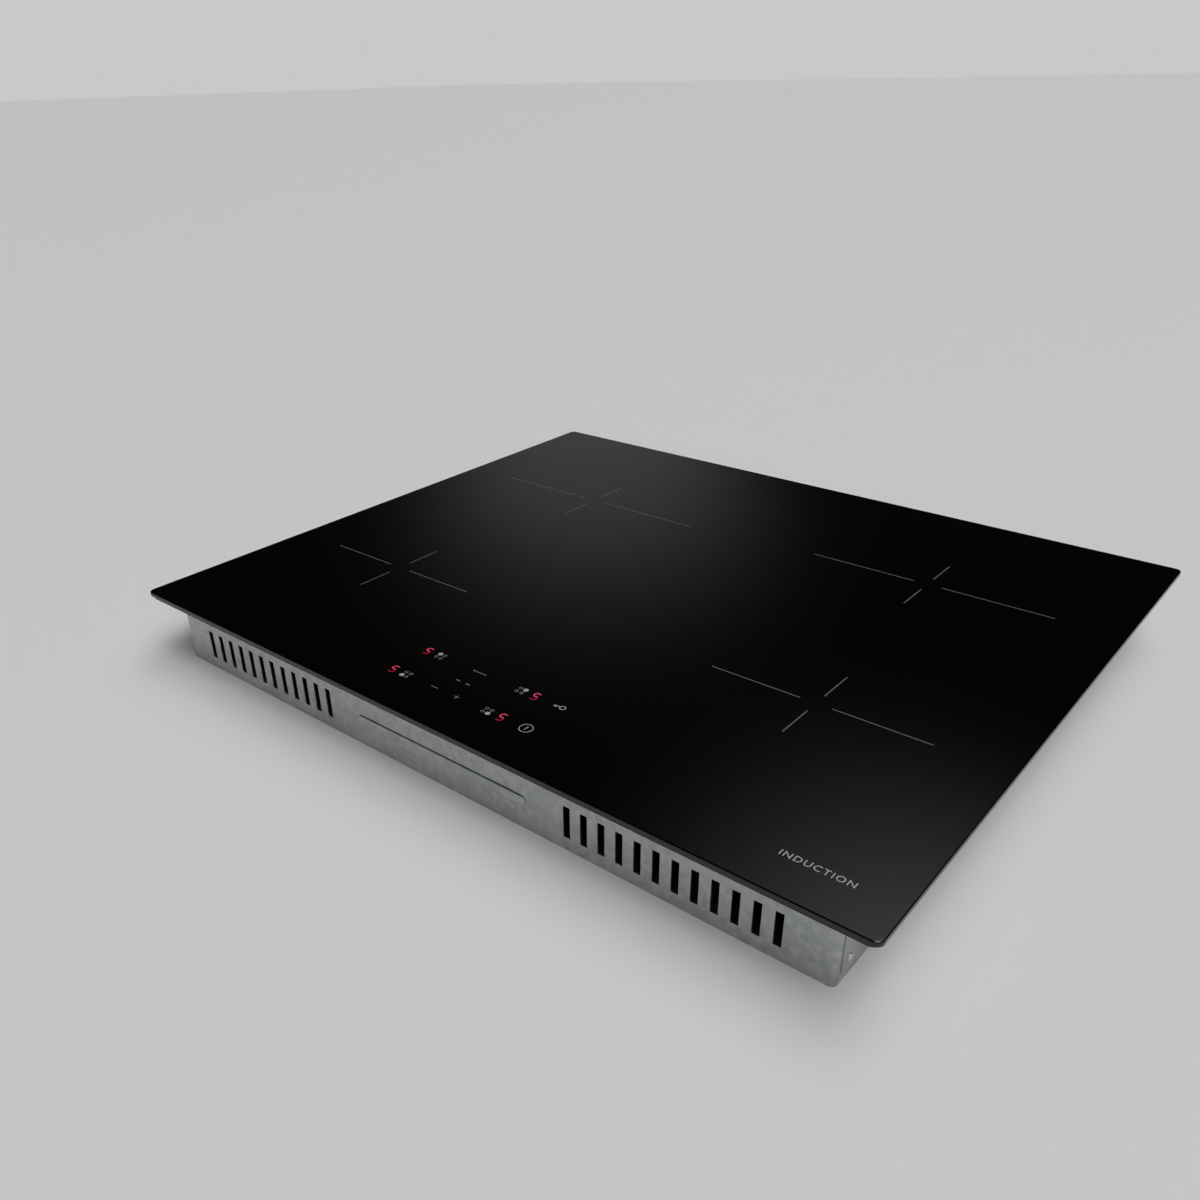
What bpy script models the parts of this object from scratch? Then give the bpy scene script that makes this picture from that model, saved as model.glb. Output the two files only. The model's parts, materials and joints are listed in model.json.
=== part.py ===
"""A built-in induction cooktop with four cooking zones, touch controls and its whole inside.

Metres, +Z up. The origin is at the middle of the casing's underside, +X is the user's right
and +Y points to the wall behind the cooktop. Run it with
blender --background --python part.py, or from Blender's text editor.
"""

import math

import bmesh
import bpy
from mathutils import Matrix, Vector

# ---------------------------------------------------------------- overall sizes
GLASS_WIDTH = 0.600
GLASS_DEPTH = 0.510
OVERALL_HEIGHT = 0.054
GLASS_THICKNESS = 0.004
GLASS_CORNER = 0.005  # radius of the glass's corners, seen from above
GLASS_EDGE = 0.0008  # width of the ground edge
SIDE_OVERHANG = 0.0235  # glass past the casing, left and right
FRONT_OVERHANG = 0.0135  # glass past the casing, front and rear
GAP = 0.0003  # between pieces that rest on each other

# ---------------------------------------------------------------- glass, seal and rails
SEAL_INSET = 0.002
SEAL_WIDTH = 0.006
SEAL_THICKNESS = 0.0017
RAIL_SHEET = 0.0012
RAIL_FLANGE = 0.0100
RAIL_LEG = 0.0085
RAIL_CLEARANCE = 0.0005
RAIL_END_GAP = 0.003

# ---------------------------------------------------------------- casing
SHEET = 0.001
CASE_CORNER = 0.004
CASE_TOP_GAP = 0.0008  # from the top of its walls to the glass
VENT_WIDTH = 0.005
VENT_PITCH = 0.0125
VENT_LOW = 0.009
VENT_HIGH = 0.031
FRONT_VENT_FROM, FRONT_VENT_TO = 0.100, 0.250
REAR_VENT_FROM, REAR_VENT_TO = 0.078, 0.250

# ---------------------------------------------------------------- screws and side clips
SCREW_RADIUS = 0.0016
SCREW_HEAD_RADIUS = 0.0036
SCREW_HEAD_HEIGHT = 0.0022
SCREW_LENGTH = 0.006
SCREW_HOLE_RADIUS = 0.0021
SCREW_DEPTH = 0.0047  # below the glass
SIDE_SCREW_Y = 0.190
FRONT_SCREW_X = 0.215
CLIP_Y = 0.115
CLIP_WIDTH = 0.020
CLIP_SHEET = 0.0008
CLIP_PIVOT_DROP = 0.0115  # hook below the glass
CLIP_BULGE = 0.0062  # how far it stands out of the wall when nothing presses it
CLIP_HEIGHT = 0.0310
CLIP_PLAY = 0.0005

# ---------------------------------------------------------------- cooking zones
SMALL_ZONE, MEDIUM_ZONE, LARGE_ZONE = 0.075, 0.093, 0.104
ZONE_SIDE_MARGIN, ZONE_REAR_MARGIN = 0.047, 0.048
FRONT_LEFT_MARGIN, FRONT_RIGHT_MARGIN = 0.0735, 0.0910
# name: side of the cooktop, zone radius, and its centre's distance from the front of the glass
ZONES = {
    "front_left": (-1, SMALL_ZONE, FRONT_LEFT_MARGIN + SMALL_ZONE),
    "rear_left": (-1, LARGE_ZONE, GLASS_DEPTH - ZONE_REAR_MARGIN - LARGE_ZONE),
    "rear_right": (1, MEDIUM_ZONE, GLASS_DEPTH - ZONE_REAR_MARGIN - MEDIUM_ZONE),
    "front_right": (1, SMALL_ZONE, FRONT_RIGHT_MARGIN + SMALL_ZONE),
}
WINDING_INSET = 0.005  # winding inside the zone's circle
WINDING_BORE = 0.0195
WINDING_THICKNESS = 0.0042
INSULATION_THICKNESS = 0.001
INSULATION_MARGIN = 0.004
CARRIER_WEB = 0.002
CARRIER_RIM = 0.0022
CARRIER_HUB_RADIUS, CARRIER_HUB_BORE = 0.0175, 0.0135
CARRIER_SPOKES = 6
CARRIER_SPOKE_WIDTH = 0.018
FERRITE_THICKNESS = 0.0039
FERRITE_WIDTH = 0.010
FERRITE_RING = 0.004
PLATE_SHEET = 0.0015
PLATE_MARGIN = 0.004
PLATE_LEG_WIDTH, PLATE_LEG_INSET = 0.012, 0.003
SENSOR_RADIUS, SENSOR_FOOT_RADIUS = 0.0050, 0.0085
SENSOR_CLEARANCE = 0.0015

# ---------------------------------------------------------------- blowers
ROTOR_RADIUS = 0.039
ROTOR_BLADES = 15
BLADE_DEPTH, BLADE_SHEET, BLADE_LEAN = 0.0085, 0.0012, math.radians(38)
ROTOR_DISC = 0.0015
ROTOR_RING_WIDTH = 0.003
CUP_RADIUS, CUP_WALL = 0.018, 0.0017
MOTOR_CLEARANCE = 0.0018
SHAFT_RADIUS, SHAFT_CLEARANCE = 0.0015, 0.0001
BLOWER_HEIGHT = 0.030
BLOWER_WALL = 0.0015
VOLUTE_CLEARANCE = 0.003
VOLUTE_GROWTH = 0.014
TONGUE_ANGLE = math.radians(60)
OUTLET_REACH = 0.060
INTAKE_RADIUS = 0.030
BLOWER_SIDE_MARGIN, BLOWER_REAR_MARGIN = 0.1255, 0.026  # axis to side wall, spiral to rear wall

# ---------------------------------------------------------------- electronics
BOARD_SHEET = 0.0016
BOARD_INNER_X = 0.070
BOARD_SIDE_MARGIN = 0.024
BOARD_FRONT_MARGIN = 0.098
TRAY_WALL = 0.0015
TRAY_HEIGHT = 0.0045
TRAY_CLEARANCE = 0.002
PEG_RADIUS, PEG_HEIGHT = 0.0035, 0.0042
PEG_INSET = 0.008
HEATSINK_WIDTH, HEATSINK_HEIGHT, HEATSINK_LENGTH = 0.044, 0.024, 0.142
HEATSINK_BASE, FIN_SHEET, FIN_COUNT = 0.005, 0.0016, 9
FILTER_BOARD_DEPTH = 0.130
FILTER_MARGIN = 0.006
# component: along the board from its inner edge, back from its front edge, size x, y and height
POWER_PARTS = [
    (0.026, 0.215, 0.042, 0.018, 0.0245),
    (0.026, 0.190, 0.042, 0.018, 0.0245),
    (0.026, 0.158, 0.042, 0.026, 0.0225),
    (0.016, 0.124, 0.020, 0.016, 0.0180),
    (0.044, 0.124, 0.020, 0.016, 0.0180),
    (0.075, 0.040, 0.030, 0.012, 0.0100),
    (0.130, 0.040, 0.026, 0.014, 0.0120),
    (0.160, 0.110, 0.014, 0.034, 0.0100),
    (0.160, 0.170, 0.014, 0.034, 0.0100),
    (0.105, 0.018, 0.012, 0.012, 0.0030),
]
# round components: the same, with a radius and a height
POWER_CANS = [(0.020, 0.080, 0.0150, 0.020), (0.056, 0.085, 0.0080, 0.0225), (0.030, 0.040, 0.0080, 0.0225)]
FILTER_PARTS = [
    (0.020, 0.028, 0.026, 0.016, 0.020),
    (0.060, 0.028, 0.026, 0.016, 0.020),
    (0.042, 0.112, 0.050, 0.012, 0.014),
]
FILTER_CANS = [(0.042, 0.068, 0.0180, 0.022), (0.014, 0.080, 0.0050, 0.014)]

# ---------------------------------------------------------------- touch controls
PANEL_X, PANEL_FROM_FRONT = -0.0104, 0.0504  # middle of the control field
ROW_REACH = 0.0153  # rows of keys in front of and behind that middle
DIGIT_X, ICON_X, SETTER_X, LOCK_X = 0.0483, 0.0364, 0.0099, 0.0682
KEYS = [
    (-ICON_X, -1),
    (-ICON_X, 1),
    (ICON_X, -1),
    (ICON_X, 1),
    (-SETTER_X, -1),
    (SETTER_X, -1),
    (0.0, 1),
    (LOCK_X, -1),
    (LOCK_X, 1),
]
KEY_RADIUS = 0.0045
TOUCH_BOARD_DEPTH = 0.040
TOUCH_BOARD_LEFT, TOUCH_BOARD_RIGHT = 0.055, 0.076  # from the middle of the control field
TOUCH_BOARD_DROP = 0.010  # below the glass
HOLDER_WALL, HOLDER_FLOOR, HOLDER_LEG = 0.0015, 0.002, 0.004
DIGIT_WIDTH, DIGIT_HEIGHT, TIMER_WIDTH = 0.0068, 0.0100, 0.0170
DISPLAY_WALL = 0.0015

# ---------------------------------------------------------------- mains terminal
TERMINAL_HALF_WIDTH, TERMINAL_DEPTH, TERMINAL_HEIGHT = 0.056, 0.062, 0.031
TERMINAL_WALL = 0.002
COVER_LEFT, COVER_RIGHT = -0.050, 0.021  # sides of the opening that the cover closes
COVER_CLEARANCE = 0.0006
BARREL_RADIUS, HINGE_Z = 0.0022, 0.0045
HINGE_PIN_RADIUS, HINGE_PIN_LENGTH, HINGE_CLEARANCE = 0.0008, 0.004, 0.0001
BLOCK_X, BLOCK_HALF_WIDTH, BLOCK_DEPTH, BLOCK_HEIGHT, BLOCK_POLES = -0.0145, 0.032, 0.014, 0.020, 6
INLET_X, INLET_Z, INLET_RADIUS = 0.036, 0.0168, 0.009
LOOM_X, LOOM_Z, LOOM_RADIUS, LOOM_CLEARANCE = 0.002, 0.0160, 0.0032, 0.001
RIBBON_WIDTH, RIBBON_SHEET, RIBBON_X = 0.014, 0.0010, 0.012

# ---------------------------------------------------------------- levels, from the glass down
GLASS_LOW = OVERALL_HEIGHT - GLASS_THICKNESS
CASE_HALF_X = GLASS_WIDTH / 2 - SIDE_OVERHANG
CASE_HALF_Y = GLASS_DEPTH / 2 - FRONT_OVERHANG
CASE_HIGH = GLASS_LOW - CASE_TOP_GAP
INNER_X, INNER_Y = CASE_HALF_X - SHEET, CASE_HALF_Y - SHEET
INSULATION_HIGH = GLASS_LOW - GAP
INSULATION_LOW = INSULATION_HIGH - INSULATION_THICKNESS
WINDING_HIGH = INSULATION_LOW - GAP
WINDING_LOW = WINDING_HIGH - WINDING_THICKNESS
CARRIER_HIGH = WINDING_LOW - GAP
FERRITE_HIGH = CARRIER_HIGH - CARRIER_WEB - GAP
FERRITE_LOW = FERRITE_HIGH - FERRITE_THICKNESS
PLATE_HIGH = FERRITE_LOW - GAP
PLATE_LOW = PLATE_HIGH - PLATE_SHEET
FLOOR = SHEET + GAP  # what stands on the casing's floor starts here
BOARD_LOW = FLOOR + TRAY_WALL + PEG_HEIGHT + GAP
BOARD_HIGH = BOARD_LOW + BOARD_SHEET
BLOWER_X = INNER_X - BLOWER_SIDE_MARGIN
BLOWER_Y = INNER_Y - BLOWER_REAR_MARGIN - ROTOR_RADIUS - VOLUTE_CLEARANCE - VOLUTE_GROWTH
BOARD_REAR = BLOWER_Y - OUTLET_REACH - TRAY_WALL - TRAY_CLEARANCE - 2 * GAP
BOARD_FRONT = -INNER_Y + BOARD_FRONT_MARGIN
BOARD_OUTER_X = INNER_X - BOARD_SIDE_MARGIN
TERMINAL_REAR = INNER_Y - GAP
TERMINAL_FRONT = TERMINAL_REAR - TERMINAL_DEPTH
TERMINAL_HIGH = FLOOR + TERMINAL_HEIGHT
HINGE_Y = TERMINAL_REAR - TERMINAL_WALL / 2
TOUCH_HIGH = GLASS_LOW - TOUCH_BOARD_DROP
TOUCH_LOW = TOUCH_HIGH - BOARD_SHEET
PANEL_Y = PANEL_FROM_FRONT - GLASS_DEPTH / 2
SCREW_Z = GLASS_LOW - SCREW_DEPTH
CLIP_PIVOT_Z = GLASS_LOW - CLIP_PIVOT_DROP

TINY = 0.001  # how far a cutter reaches past the wall that it cuts


# ---------------------------------------------------------------- building tools
def clear_scene():
    for obj in list(bpy.data.objects):
        bpy.data.objects.remove(obj, do_unlink=True)


def material(name, colour, roughness, metallic=0.0):
    made = bpy.data.materials.new(name)
    made.use_nodes = True
    shader = made.node_tree.nodes["Principled BSDF"]
    shader.inputs["Base Color"].default_value = (*colour, 1.0)
    shader.inputs["Roughness"].default_value = roughness
    shader.inputs["Metallic"].default_value = metallic
    return made


def add_object(name, bm, finish=None, helper=False):
    """Makes an object of the bmesh. A helper is a cutter, or a shape that is joined to a part."""
    bmesh.ops.recalc_face_normals(bm, faces=bm.faces)
    mesh = bpy.data.meshes.new(name)
    bm.to_mesh(mesh)
    bm.free()
    mesh.shade_smooth()
    mesh.set_sharp_from_angle(angle=math.radians(35))
    obj = bpy.data.objects.new(name, mesh)
    bpy.context.scene.collection.objects.link(obj)
    if finish:
        mesh.materials.append(finish)
    if helper:
        obj.hide_render = True
        obj.display_type = "WIRE"
    return obj


def combine(obj, operation, bm):
    """Cuts the bmesh's shapes from obj, or joins them to it, with an exact Boolean."""
    tool = add_object(f"{obj.name}_{operation.lower()}", bm, helper=True)
    modifier = obj.modifiers.new(operation.title(), "BOOLEAN")
    modifier.operation = operation
    modifier.solver = "EXACT"
    modifier.object = tool
    return obj


def cut(obj, bm):
    return combine(obj, "DIFFERENCE", bm)


def join(obj, bm):
    return combine(obj, "UNION", bm)


def rounded(half_x, half_y, radius, centre=(0.0, 0.0), steps=5):
    """The outline of a rectangle with round corners, anticlockwise."""
    points = []
    for quarter, (sx, sy) in enumerate([(1, 1), (-1, 1), (-1, -1), (1, -1)]):
        for step in range(steps + 1):
            angle = math.pi / 2 * (quarter + step / steps)
            x = centre[0] + sx * (half_x - radius) + radius * math.cos(angle)
            y = centre[1] + sy * (half_y - radius) + radius * math.sin(angle)
            points.append((x, y))
    return points


def rectangle(x0, y0, x1, y1):
    return [(x0, y0), (x1, y0), (x1, y1), (x0, y1)]


def arc(start, stop, steps):
    return [start + (stop - start) * step / steps for step in range(steps + 1)]


def circle(radius, centre=(0.0, 0.0), steps=32):
    turns = [2 * math.pi * step / steps for step in range(steps)]
    return [(centre[0] + radius * math.cos(a), centre[1] + radius * math.sin(a)) for a in turns]


def strip(points, thickness):
    """The outline of a bent strip that follows the points, half its thickness to each side."""
    near, far = [], []
    for i, point in enumerate(points):
        before, after = points[max(i - 1, 0)], points[min(i + 1, len(points) - 1)]
        along = (Vector(after) - Vector(before)).normalized()
        across = Vector((-along.y, along.x)) * thickness / 2
        near.append(tuple(Vector(point) + across))
        far.append(tuple(Vector(point) - across))
    return near + far[::-1]


def add_prism(bm, loops, low, high, turn=None):
    """Adds the outline loops[0], with holes of the other loops, extruded from low to high."""
    edges = []
    for loop in loops:
        corners = [bm.verts.new((x, y, low)) for x, y in loop]
        edges += [bm.edges.new((a, b)) for a, b in zip(corners, corners[1:] + corners[:1])]
    if len(loops) == 1:
        flat = bmesh.ops.contextual_create(bm, geom=edges)["faces"]
    else:
        filled = bmesh.ops.triangle_fill(bm, use_beauty=True, edges=edges)["geom"]
        flat = [g for g in filled if isinstance(g, bmesh.types.BMFace)]
    raised = bmesh.ops.extrude_face_region(bm, geom=flat)["geom"]
    tops = [g for g in raised if isinstance(g, bmesh.types.BMVert)]
    bmesh.ops.translate(bm, verts=tops, vec=(0, 0, high - low))
    if turn:
        own = {v for e in edges for v in e.verts} | set(tops)
        bmesh.ops.transform(bm, matrix=turn, verts=list(own))
    return bm


def add_box(bm, low, high):
    return add_prism(bm, [rectangle(low[0], low[1], high[0], high[1])], low[2], high[2])


def add_cylinder(bm, radius, low, high, centre=(0.0, 0.0), steps=24, turn=None):
    return add_prism(bm, [circle(radius, centre, steps)], low, high, turn)


def prism(name, loops, low, high, finish, turn=None):
    return add_object(name, add_prism(bmesh.new(), loops, low, high, turn), finish)


def turned(profile, steps=24):
    """A bmesh of the closed (radius, height) profile spun once about Z. Both ends may be on the axis."""
    bm = bmesh.new()
    corners = [bm.verts.new((r, 0, z)) for r, z in profile]
    edges = [bm.edges.new(pair) for pair in zip(corners, corners[1:])]
    if profile[0][0] > 0:
        edges.append(bm.edges.new((corners[-1], corners[0])))
    bmesh.ops.spin(
        bm, geom=corners + edges, cent=(0, 0, 0), axis=(0, 0, 1),
        angle=2 * math.pi, steps=steps, use_merge=True, use_duplicate=False,
    )
    bmesh.ops.remove_doubles(bm, verts=bm.verts, dist=1e-6)
    return bm


def smooth_run(start, end, steps):
    """Points from start to end that leave and arrive level."""
    points = []
    for step in range(steps + 1):
        share = step / steps
        ease = share * share * (3 - 2 * share)
        points.append((start[0] + (end[0] - start[0]) * share, start[1] + (end[1] - start[1]) * ease))
    return points


# Turns a prism drawn in X and Y so that its plane stands up.
UPRIGHT_XZ = Matrix.Rotation(math.pi / 2, 4, "X")  # drawn y becomes z, extruded along -Y
UPRIGHT_YZ = Matrix(((0, 0, 1, 0), (1, 0, 0, 0), (0, 1, 0, 0), (0, 0, 0, 1)))  # drawn x, y become y, z


def zone_centre(zone):
    side, radius, from_front = ZONES[zone]
    return side * (GLASS_WIDTH / 2 - ZONE_SIDE_MARGIN - radius), from_front - GLASS_DEPTH / 2


def winding_radius(zone):
    return ZONES[zone][1] - WINDING_INSET


# ---------------------------------------------------------------- glass, seal and rails
def make_glass(finish):
    bm = bmesh.new()
    outline = rounded(GLASS_WIDTH / 2, GLASS_DEPTH / 2, GLASS_CORNER)
    add_prism(bm, [outline], GLASS_LOW, OVERALL_HEIGHT)
    rims = [e for e in bm.edges if abs(e.verts[0].co.z - e.verts[1].co.z) < GAP]
    bmesh.ops.bevel(bm, geom=rims, offset=GLASS_EDGE, segments=1, profile=0.5, affect="EDGES")
    add_object("glass_panel", bm, finish)


def make_seal(finish):
    outer = rounded(GLASS_WIDTH / 2 - SEAL_INSET, GLASS_DEPTH / 2 - SEAL_INSET, GLASS_CORNER)
    inset = SEAL_INSET + SEAL_WIDTH
    inner = rounded(GLASS_WIDTH / 2 - inset, GLASS_DEPTH / 2 - inset, GLASS_CORNER / 2)
    prism("perimeter_seal", [outer, inner], GLASS_LOW - GAP - SEAL_THICKNESS, GLASS_LOW - GAP, finish)


def screw_places():
    """Each casing screw's name, with the point where it meets the wall and the wall's outward normal."""
    places = []
    for sx, side in ((-1, "left"), (1, "right")):
        for sy, end in ((-1, "front"), (1, "rear")):
            places.append((f"{side}_{end}", (sx * CASE_HALF_X, sy * SIDE_SCREW_Y), (sx, 0)))
            places.append((f"{end}_{side}", (sx * FRONT_SCREW_X, sy * CASE_HALF_Y), (0, sy)))
    return places


def wall_turn(point, normal, z):
    """Carries a shape built along +Z so that it points out of a wall at that point."""
    out = Vector((*normal, 0.0))
    return Matrix.Translation((*point, z)) @ out.to_track_quat("Z", "X").to_matrix().to_4x4()


def add_screw_holes(bm, choose=lambda normal: True):
    reach = SHEET + RAIL_CLEARANCE + RAIL_SHEET + TINY
    for _, point, normal in screw_places():
        if choose(normal):
            turn = wall_turn(point, normal, SCREW_Z)
            add_cylinder(bm, SCREW_HOLE_RADIUS, -reach, TINY, steps=12, turn=turn)
    return bm


def make_rails(finish):
    """Angles bonded under the glass, which the casing's walls are screwed to."""
    high, low = GLASS_LOW - GAP, GLASS_LOW - GAP - RAIL_LEG
    outline = [
        (0, 0), (RAIL_FLANGE, 0), (RAIL_FLANGE, -RAIL_SHEET),
        (RAIL_SHEET, -RAIL_SHEET), (RAIL_SHEET, low - high), (0, low - high),
    ]
    face_x, face_y = INNER_X - RAIL_CLEARANCE, INNER_Y - RAIL_CLEARANCE
    half_x = face_x - RAIL_FLANGE - RAIL_END_GAP
    half_y = face_y - RAIL_END_GAP
    for name, normal, face, half in (
        ("front_rail", (0, -1), face_y, half_x),
        ("rear_rail", (0, 1), face_y, half_x),
        ("left_rail", (-1, 0), face_x, half_y),
        ("right_rail", (1, 0), face_x, half_y),
    ):
        inward = -Vector((*normal, 0))
        along = Vector((0, 0, 1)).cross(inward)
        turn = Matrix((inward, Vector((0, 0, 1)), along)).transposed().to_4x4()
        turn.translation = -inward * face + Vector((0, 0, high))
        rail = prism(name, [outline], -half, half, finish, turn)
        cut(rail, add_screw_holes(bmesh.new(), lambda n, own=normal: n == own))


# ---------------------------------------------------------------- casing and its fasteners
def vent_row(start, stop):
    count = int((stop - start) / VENT_PITCH) + 1
    slack = (stop - start - (count - 1) * VENT_PITCH) / 2
    return [start + slack + i * VENT_PITCH for i in range(count)]


def add_wall_vents(bm):
    half, reach = VENT_WIDTH / 2, SHEET + TINY
    for sy, start, stop in ((-1, FRONT_VENT_FROM, FRONT_VENT_TO), (1, REAR_VENT_FROM, REAR_VENT_TO)):
        for sx in (-1, 1):
            for x in vent_row(start, min(stop, CASE_HALF_X - 2 * CASE_CORNER)):
                y = sorted((sy * (CASE_HALF_Y - reach), sy * (CASE_HALF_Y + TINY)))
                add_box(bm, (sx * x - half, y[0], VENT_LOW), (sx * x + half, y[1], VENT_HIGH))
    return bm


def add_intake_grille(bm, centre_x):
    """Parallel slots that fill a circle under a blower's intake."""
    rows = int(INTAKE_RADIUS / VENT_PITCH)
    for row in range(-rows, rows + 1):
        y = row * VENT_PITCH
        half = math.sqrt(INTAKE_RADIUS**2 - y**2)
        low = (centre_x - half, BLOWER_Y + y - VENT_WIDTH / 2, -TINY)
        high = (centre_x + half, BLOWER_Y + y + VENT_WIDTH / 2, SHEET + TINY)
        add_box(bm, low, high)
    return bm


def add_clip_windows(bm):
    for sx in (-1, 1):
        for sy in (-1, 1):
            y0, y1 = (sy * CLIP_Y + s * (CLIP_WIDTH / 2 + CLIP_PLAY) for s in (-1, 1))
            x0, x1 = sorted((sx * (CASE_HALF_X - SHEET - TINY), sx * (CASE_HALF_X + TINY)))
            hook = CLIP_SHEET / 2 + CLIP_PLAY
            add_box(bm, (x0, y0, CLIP_PIVOT_Z - hook), (x1, y1, CLIP_PIVOT_Z + hook))
            tip = CLIP_PIVOT_Z - CLIP_HEIGHT
            add_box(bm, (x0, y0, tip - 4 * CLIP_PLAY), (x1, y1, tip + 0.3 * CLIP_HEIGHT))
    return bm


def make_case(finish):
    case = prism("bottom_case", [rounded(CASE_HALF_X, CASE_HALF_Y, CASE_CORNER)], 0, CASE_HIGH, finish)
    inside = rounded(INNER_X, INNER_Y, CASE_CORNER - SHEET)
    cut(case, add_prism(bmesh.new(), [inside], SHEET, CASE_HIGH + TINY))
    holes = add_wall_vents(bmesh.new())
    for side in (-1, 1):
        add_intake_grille(holes, side * BLOWER_X)
    add_clip_windows(holes)
    add_screw_holes(holes)
    sill = HINGE_Z - BARREL_RADIUS - COVER_CLEARANCE
    rear = (CASE_HALF_Y - SHEET - TINY, CASE_HALF_Y + TINY)
    add_box(holes, (COVER_LEFT, rear[0], sill), (COVER_RIGHT, rear[1], TERMINAL_HIGH - TERMINAL_WALL))
    inlet = wall_turn((INLET_X, CASE_HALF_Y), (0, 1), INLET_Z)
    add_cylinder(holes, INLET_RADIUS, -SHEET - TINY, TINY, turn=inlet)
    cut(case, holes)


def make_screws(finish):
    """Pan-head screws through the casing's walls into the rails."""
    head, rim = SCREW_HEAD_RADIUS, SCREW_HEAD_HEIGHT
    profile = [
        (0, -SCREW_LENGTH), (SCREW_RADIUS, -SCREW_LENGTH), (SCREW_RADIUS, GAP), (head, GAP),
        (head, GAP + 0.4 * rim), (0.6 * head, GAP + rim), (0, GAP + rim),
    ]
    screw = None
    for name, point, normal in screw_places():
        if screw is None:
            screw = add_object(f"case_screw_{name}", turned(profile, steps=12), finish)
            placed = screw
        else:
            placed = bpy.data.objects.new(f"case_screw_{name}", screw.data)
            bpy.context.scene.collection.objects.link(placed)
        placed.matrix_world = wall_turn(point, normal, SCREW_Z)


def make_clips(finish):
    """Spring clips hooked into the side walls, which the worktop's cut-out presses in."""
    drop = CLIP_HEIGHT
    path = [
        (-SHEET - 0.0015, -0.0030), (-SHEET - 0.0015, -0.0008), (-SHEET - 0.0007, 0.0), (0.0005, 0.0),
        (0.0012, -0.0008), (0.0018, -0.0030), (0.45 * CLIP_BULGE, -0.24 * drop),
        (0.85 * CLIP_BULGE, -0.44 * drop), (CLIP_BULGE - CLIP_SHEET / 2, -0.56 * drop),
        (0.85 * CLIP_BULGE, -0.66 * drop), (0.40 * CLIP_BULGE, -0.78 * drop),
        (-SHEET - 0.0008, -0.91 * drop), (-SHEET - 0.0022, -0.96 * drop),
    ]
    for sx, side in ((-1, "left"), (1, "right")):
        for sy, end in ((-1, "front"), (1, "rear")):
            bm = bmesh.new()
            outline = strip([(sx * x, z) for x, z in path], CLIP_SHEET)
            add_prism(bm, [outline], -CLIP_WIDTH / 2, CLIP_WIDTH / 2, UPRIGHT_XZ)
            clip = add_object(f"side_clip_{end}_{side}", bm, finish)
            clip.location = (sx * CASE_HALF_X, sy * CLIP_Y, CLIP_PIVOT_Z)


# ---------------------------------------------------------------- coils
def make_winding(zone, finish):
    outer, inner = winding_radius(zone), WINDING_BORE
    profile = [
        (inner, WINDING_LOW), (outer, WINDING_LOW), (outer, WINDING_HIGH), (inner, WINDING_HIGH),
    ]
    add_object(f"coil_winding_{zone}", turned(profile), finish).location = (*zone_centre(zone), 0)


def make_carrier(zone, finish):
    """A spoked wheel under the winding, with a hub, and a rim that stands up round the winding."""
    rim_in = winding_radius(zone) + GAP
    rim_out = rim_in + CARRIER_RIM
    web_low, rim_high = CARRIER_HIGH - CARRIER_WEB, CARRIER_HIGH + 0.5 * WINDING_THICKNESS
    hub, bore = CARRIER_HUB_RADIUS, CARRIER_HUB_BORE
    profile = [
        (bore, FERRITE_LOW), (hub, FERRITE_LOW), (hub, web_low), (rim_out, web_low),
        (rim_out, rim_high), (rim_in, rim_high), (rim_in, CARRIER_HIGH), (bore, CARRIER_HIGH),
    ]
    carrier = add_object(f"coil_carrier_{zone}", turned(profile), finish)
    carrier.location = (*zone_centre(zone), 0)
    inner, outer = hub + 2 * CARRIER_RIM, rim_in - 2 * CARRIER_RIM
    windows = bmesh.new()
    for spoke in range(CARRIER_SPOKES):
        first = 2 * math.pi * spoke / CARRIER_SPOKES
        last = first + 2 * math.pi / CARRIER_SPOKES
        outline = []
        for radius, order in ((inner, 1), (outer, -1)):
            off = math.asin(min(CARRIER_SPOKE_WIDTH / 2 / radius, math.sin(math.pi / CARRIER_SPOKES) * 0.9))
            angles = [first + off + (last - first - 2 * off) * step / 2 for step in range(3)]
            outline += [(radius * math.cos(a), radius * math.sin(a)) for a in angles[::order]]
        add_prism(windows, [outline], web_low - TINY, CARRIER_HIGH + TINY)
    windows.transform(Matrix.Translation((*zone_centre(zone), 0)))
    cut(carrier, windows)


def make_ferrites(zone, finish):
    """Bars of ferrite under the winding, one below each spoke, joined by a narrow ring round the hub."""
    inner = CARRIER_HUB_RADIUS + 2 * GAP
    ring = inner + FERRITE_RING
    outer = winding_radius(zone) - FERRITE_RING
    half = FERRITE_WIDTH / 2
    outline = []
    for spoke in range(CARRIER_SPOKES):
        angle = 2 * math.pi * spoke / CARRIER_SPOKES
        along = Vector((math.cos(angle), math.sin(angle)))
        across = Vector((-along.y, along.x))
        root = max(ring, half / math.tan(math.pi / CARRIER_SPOKES) + 4 * GAP)
        for reach, side in ((root, -1), (outer, -1), (outer, 1), (root, 1)):
            outline.append(tuple(along * reach + across * half * side))
    loops = [outline, circle(inner, steps=24)]
    star = prism(f"ferrite_bars_{zone}", loops, FERRITE_LOW, FERRITE_HIGH, finish)
    star.location = (*zone_centre(zone), 0)


def make_sensor(zone, finish):
    """A pan-temperature sensor that stands on the support plate and touches the glass."""
    low, high = PLATE_HIGH + GAP, GLASS_LOW - GAP
    foot = low + 0.25 * (high - low)
    profile = [
        (0, low), (SENSOR_FOOT_RADIUS, low), (SENSOR_FOOT_RADIUS, foot),
        (SENSOR_RADIUS, foot), (SENSOR_RADIUS, high), (0, high),
    ]
    add_object(f"zone_sensor_{zone}", turned(profile, steps=14), finish).location = (*zone_centre(zone), 0)


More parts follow.
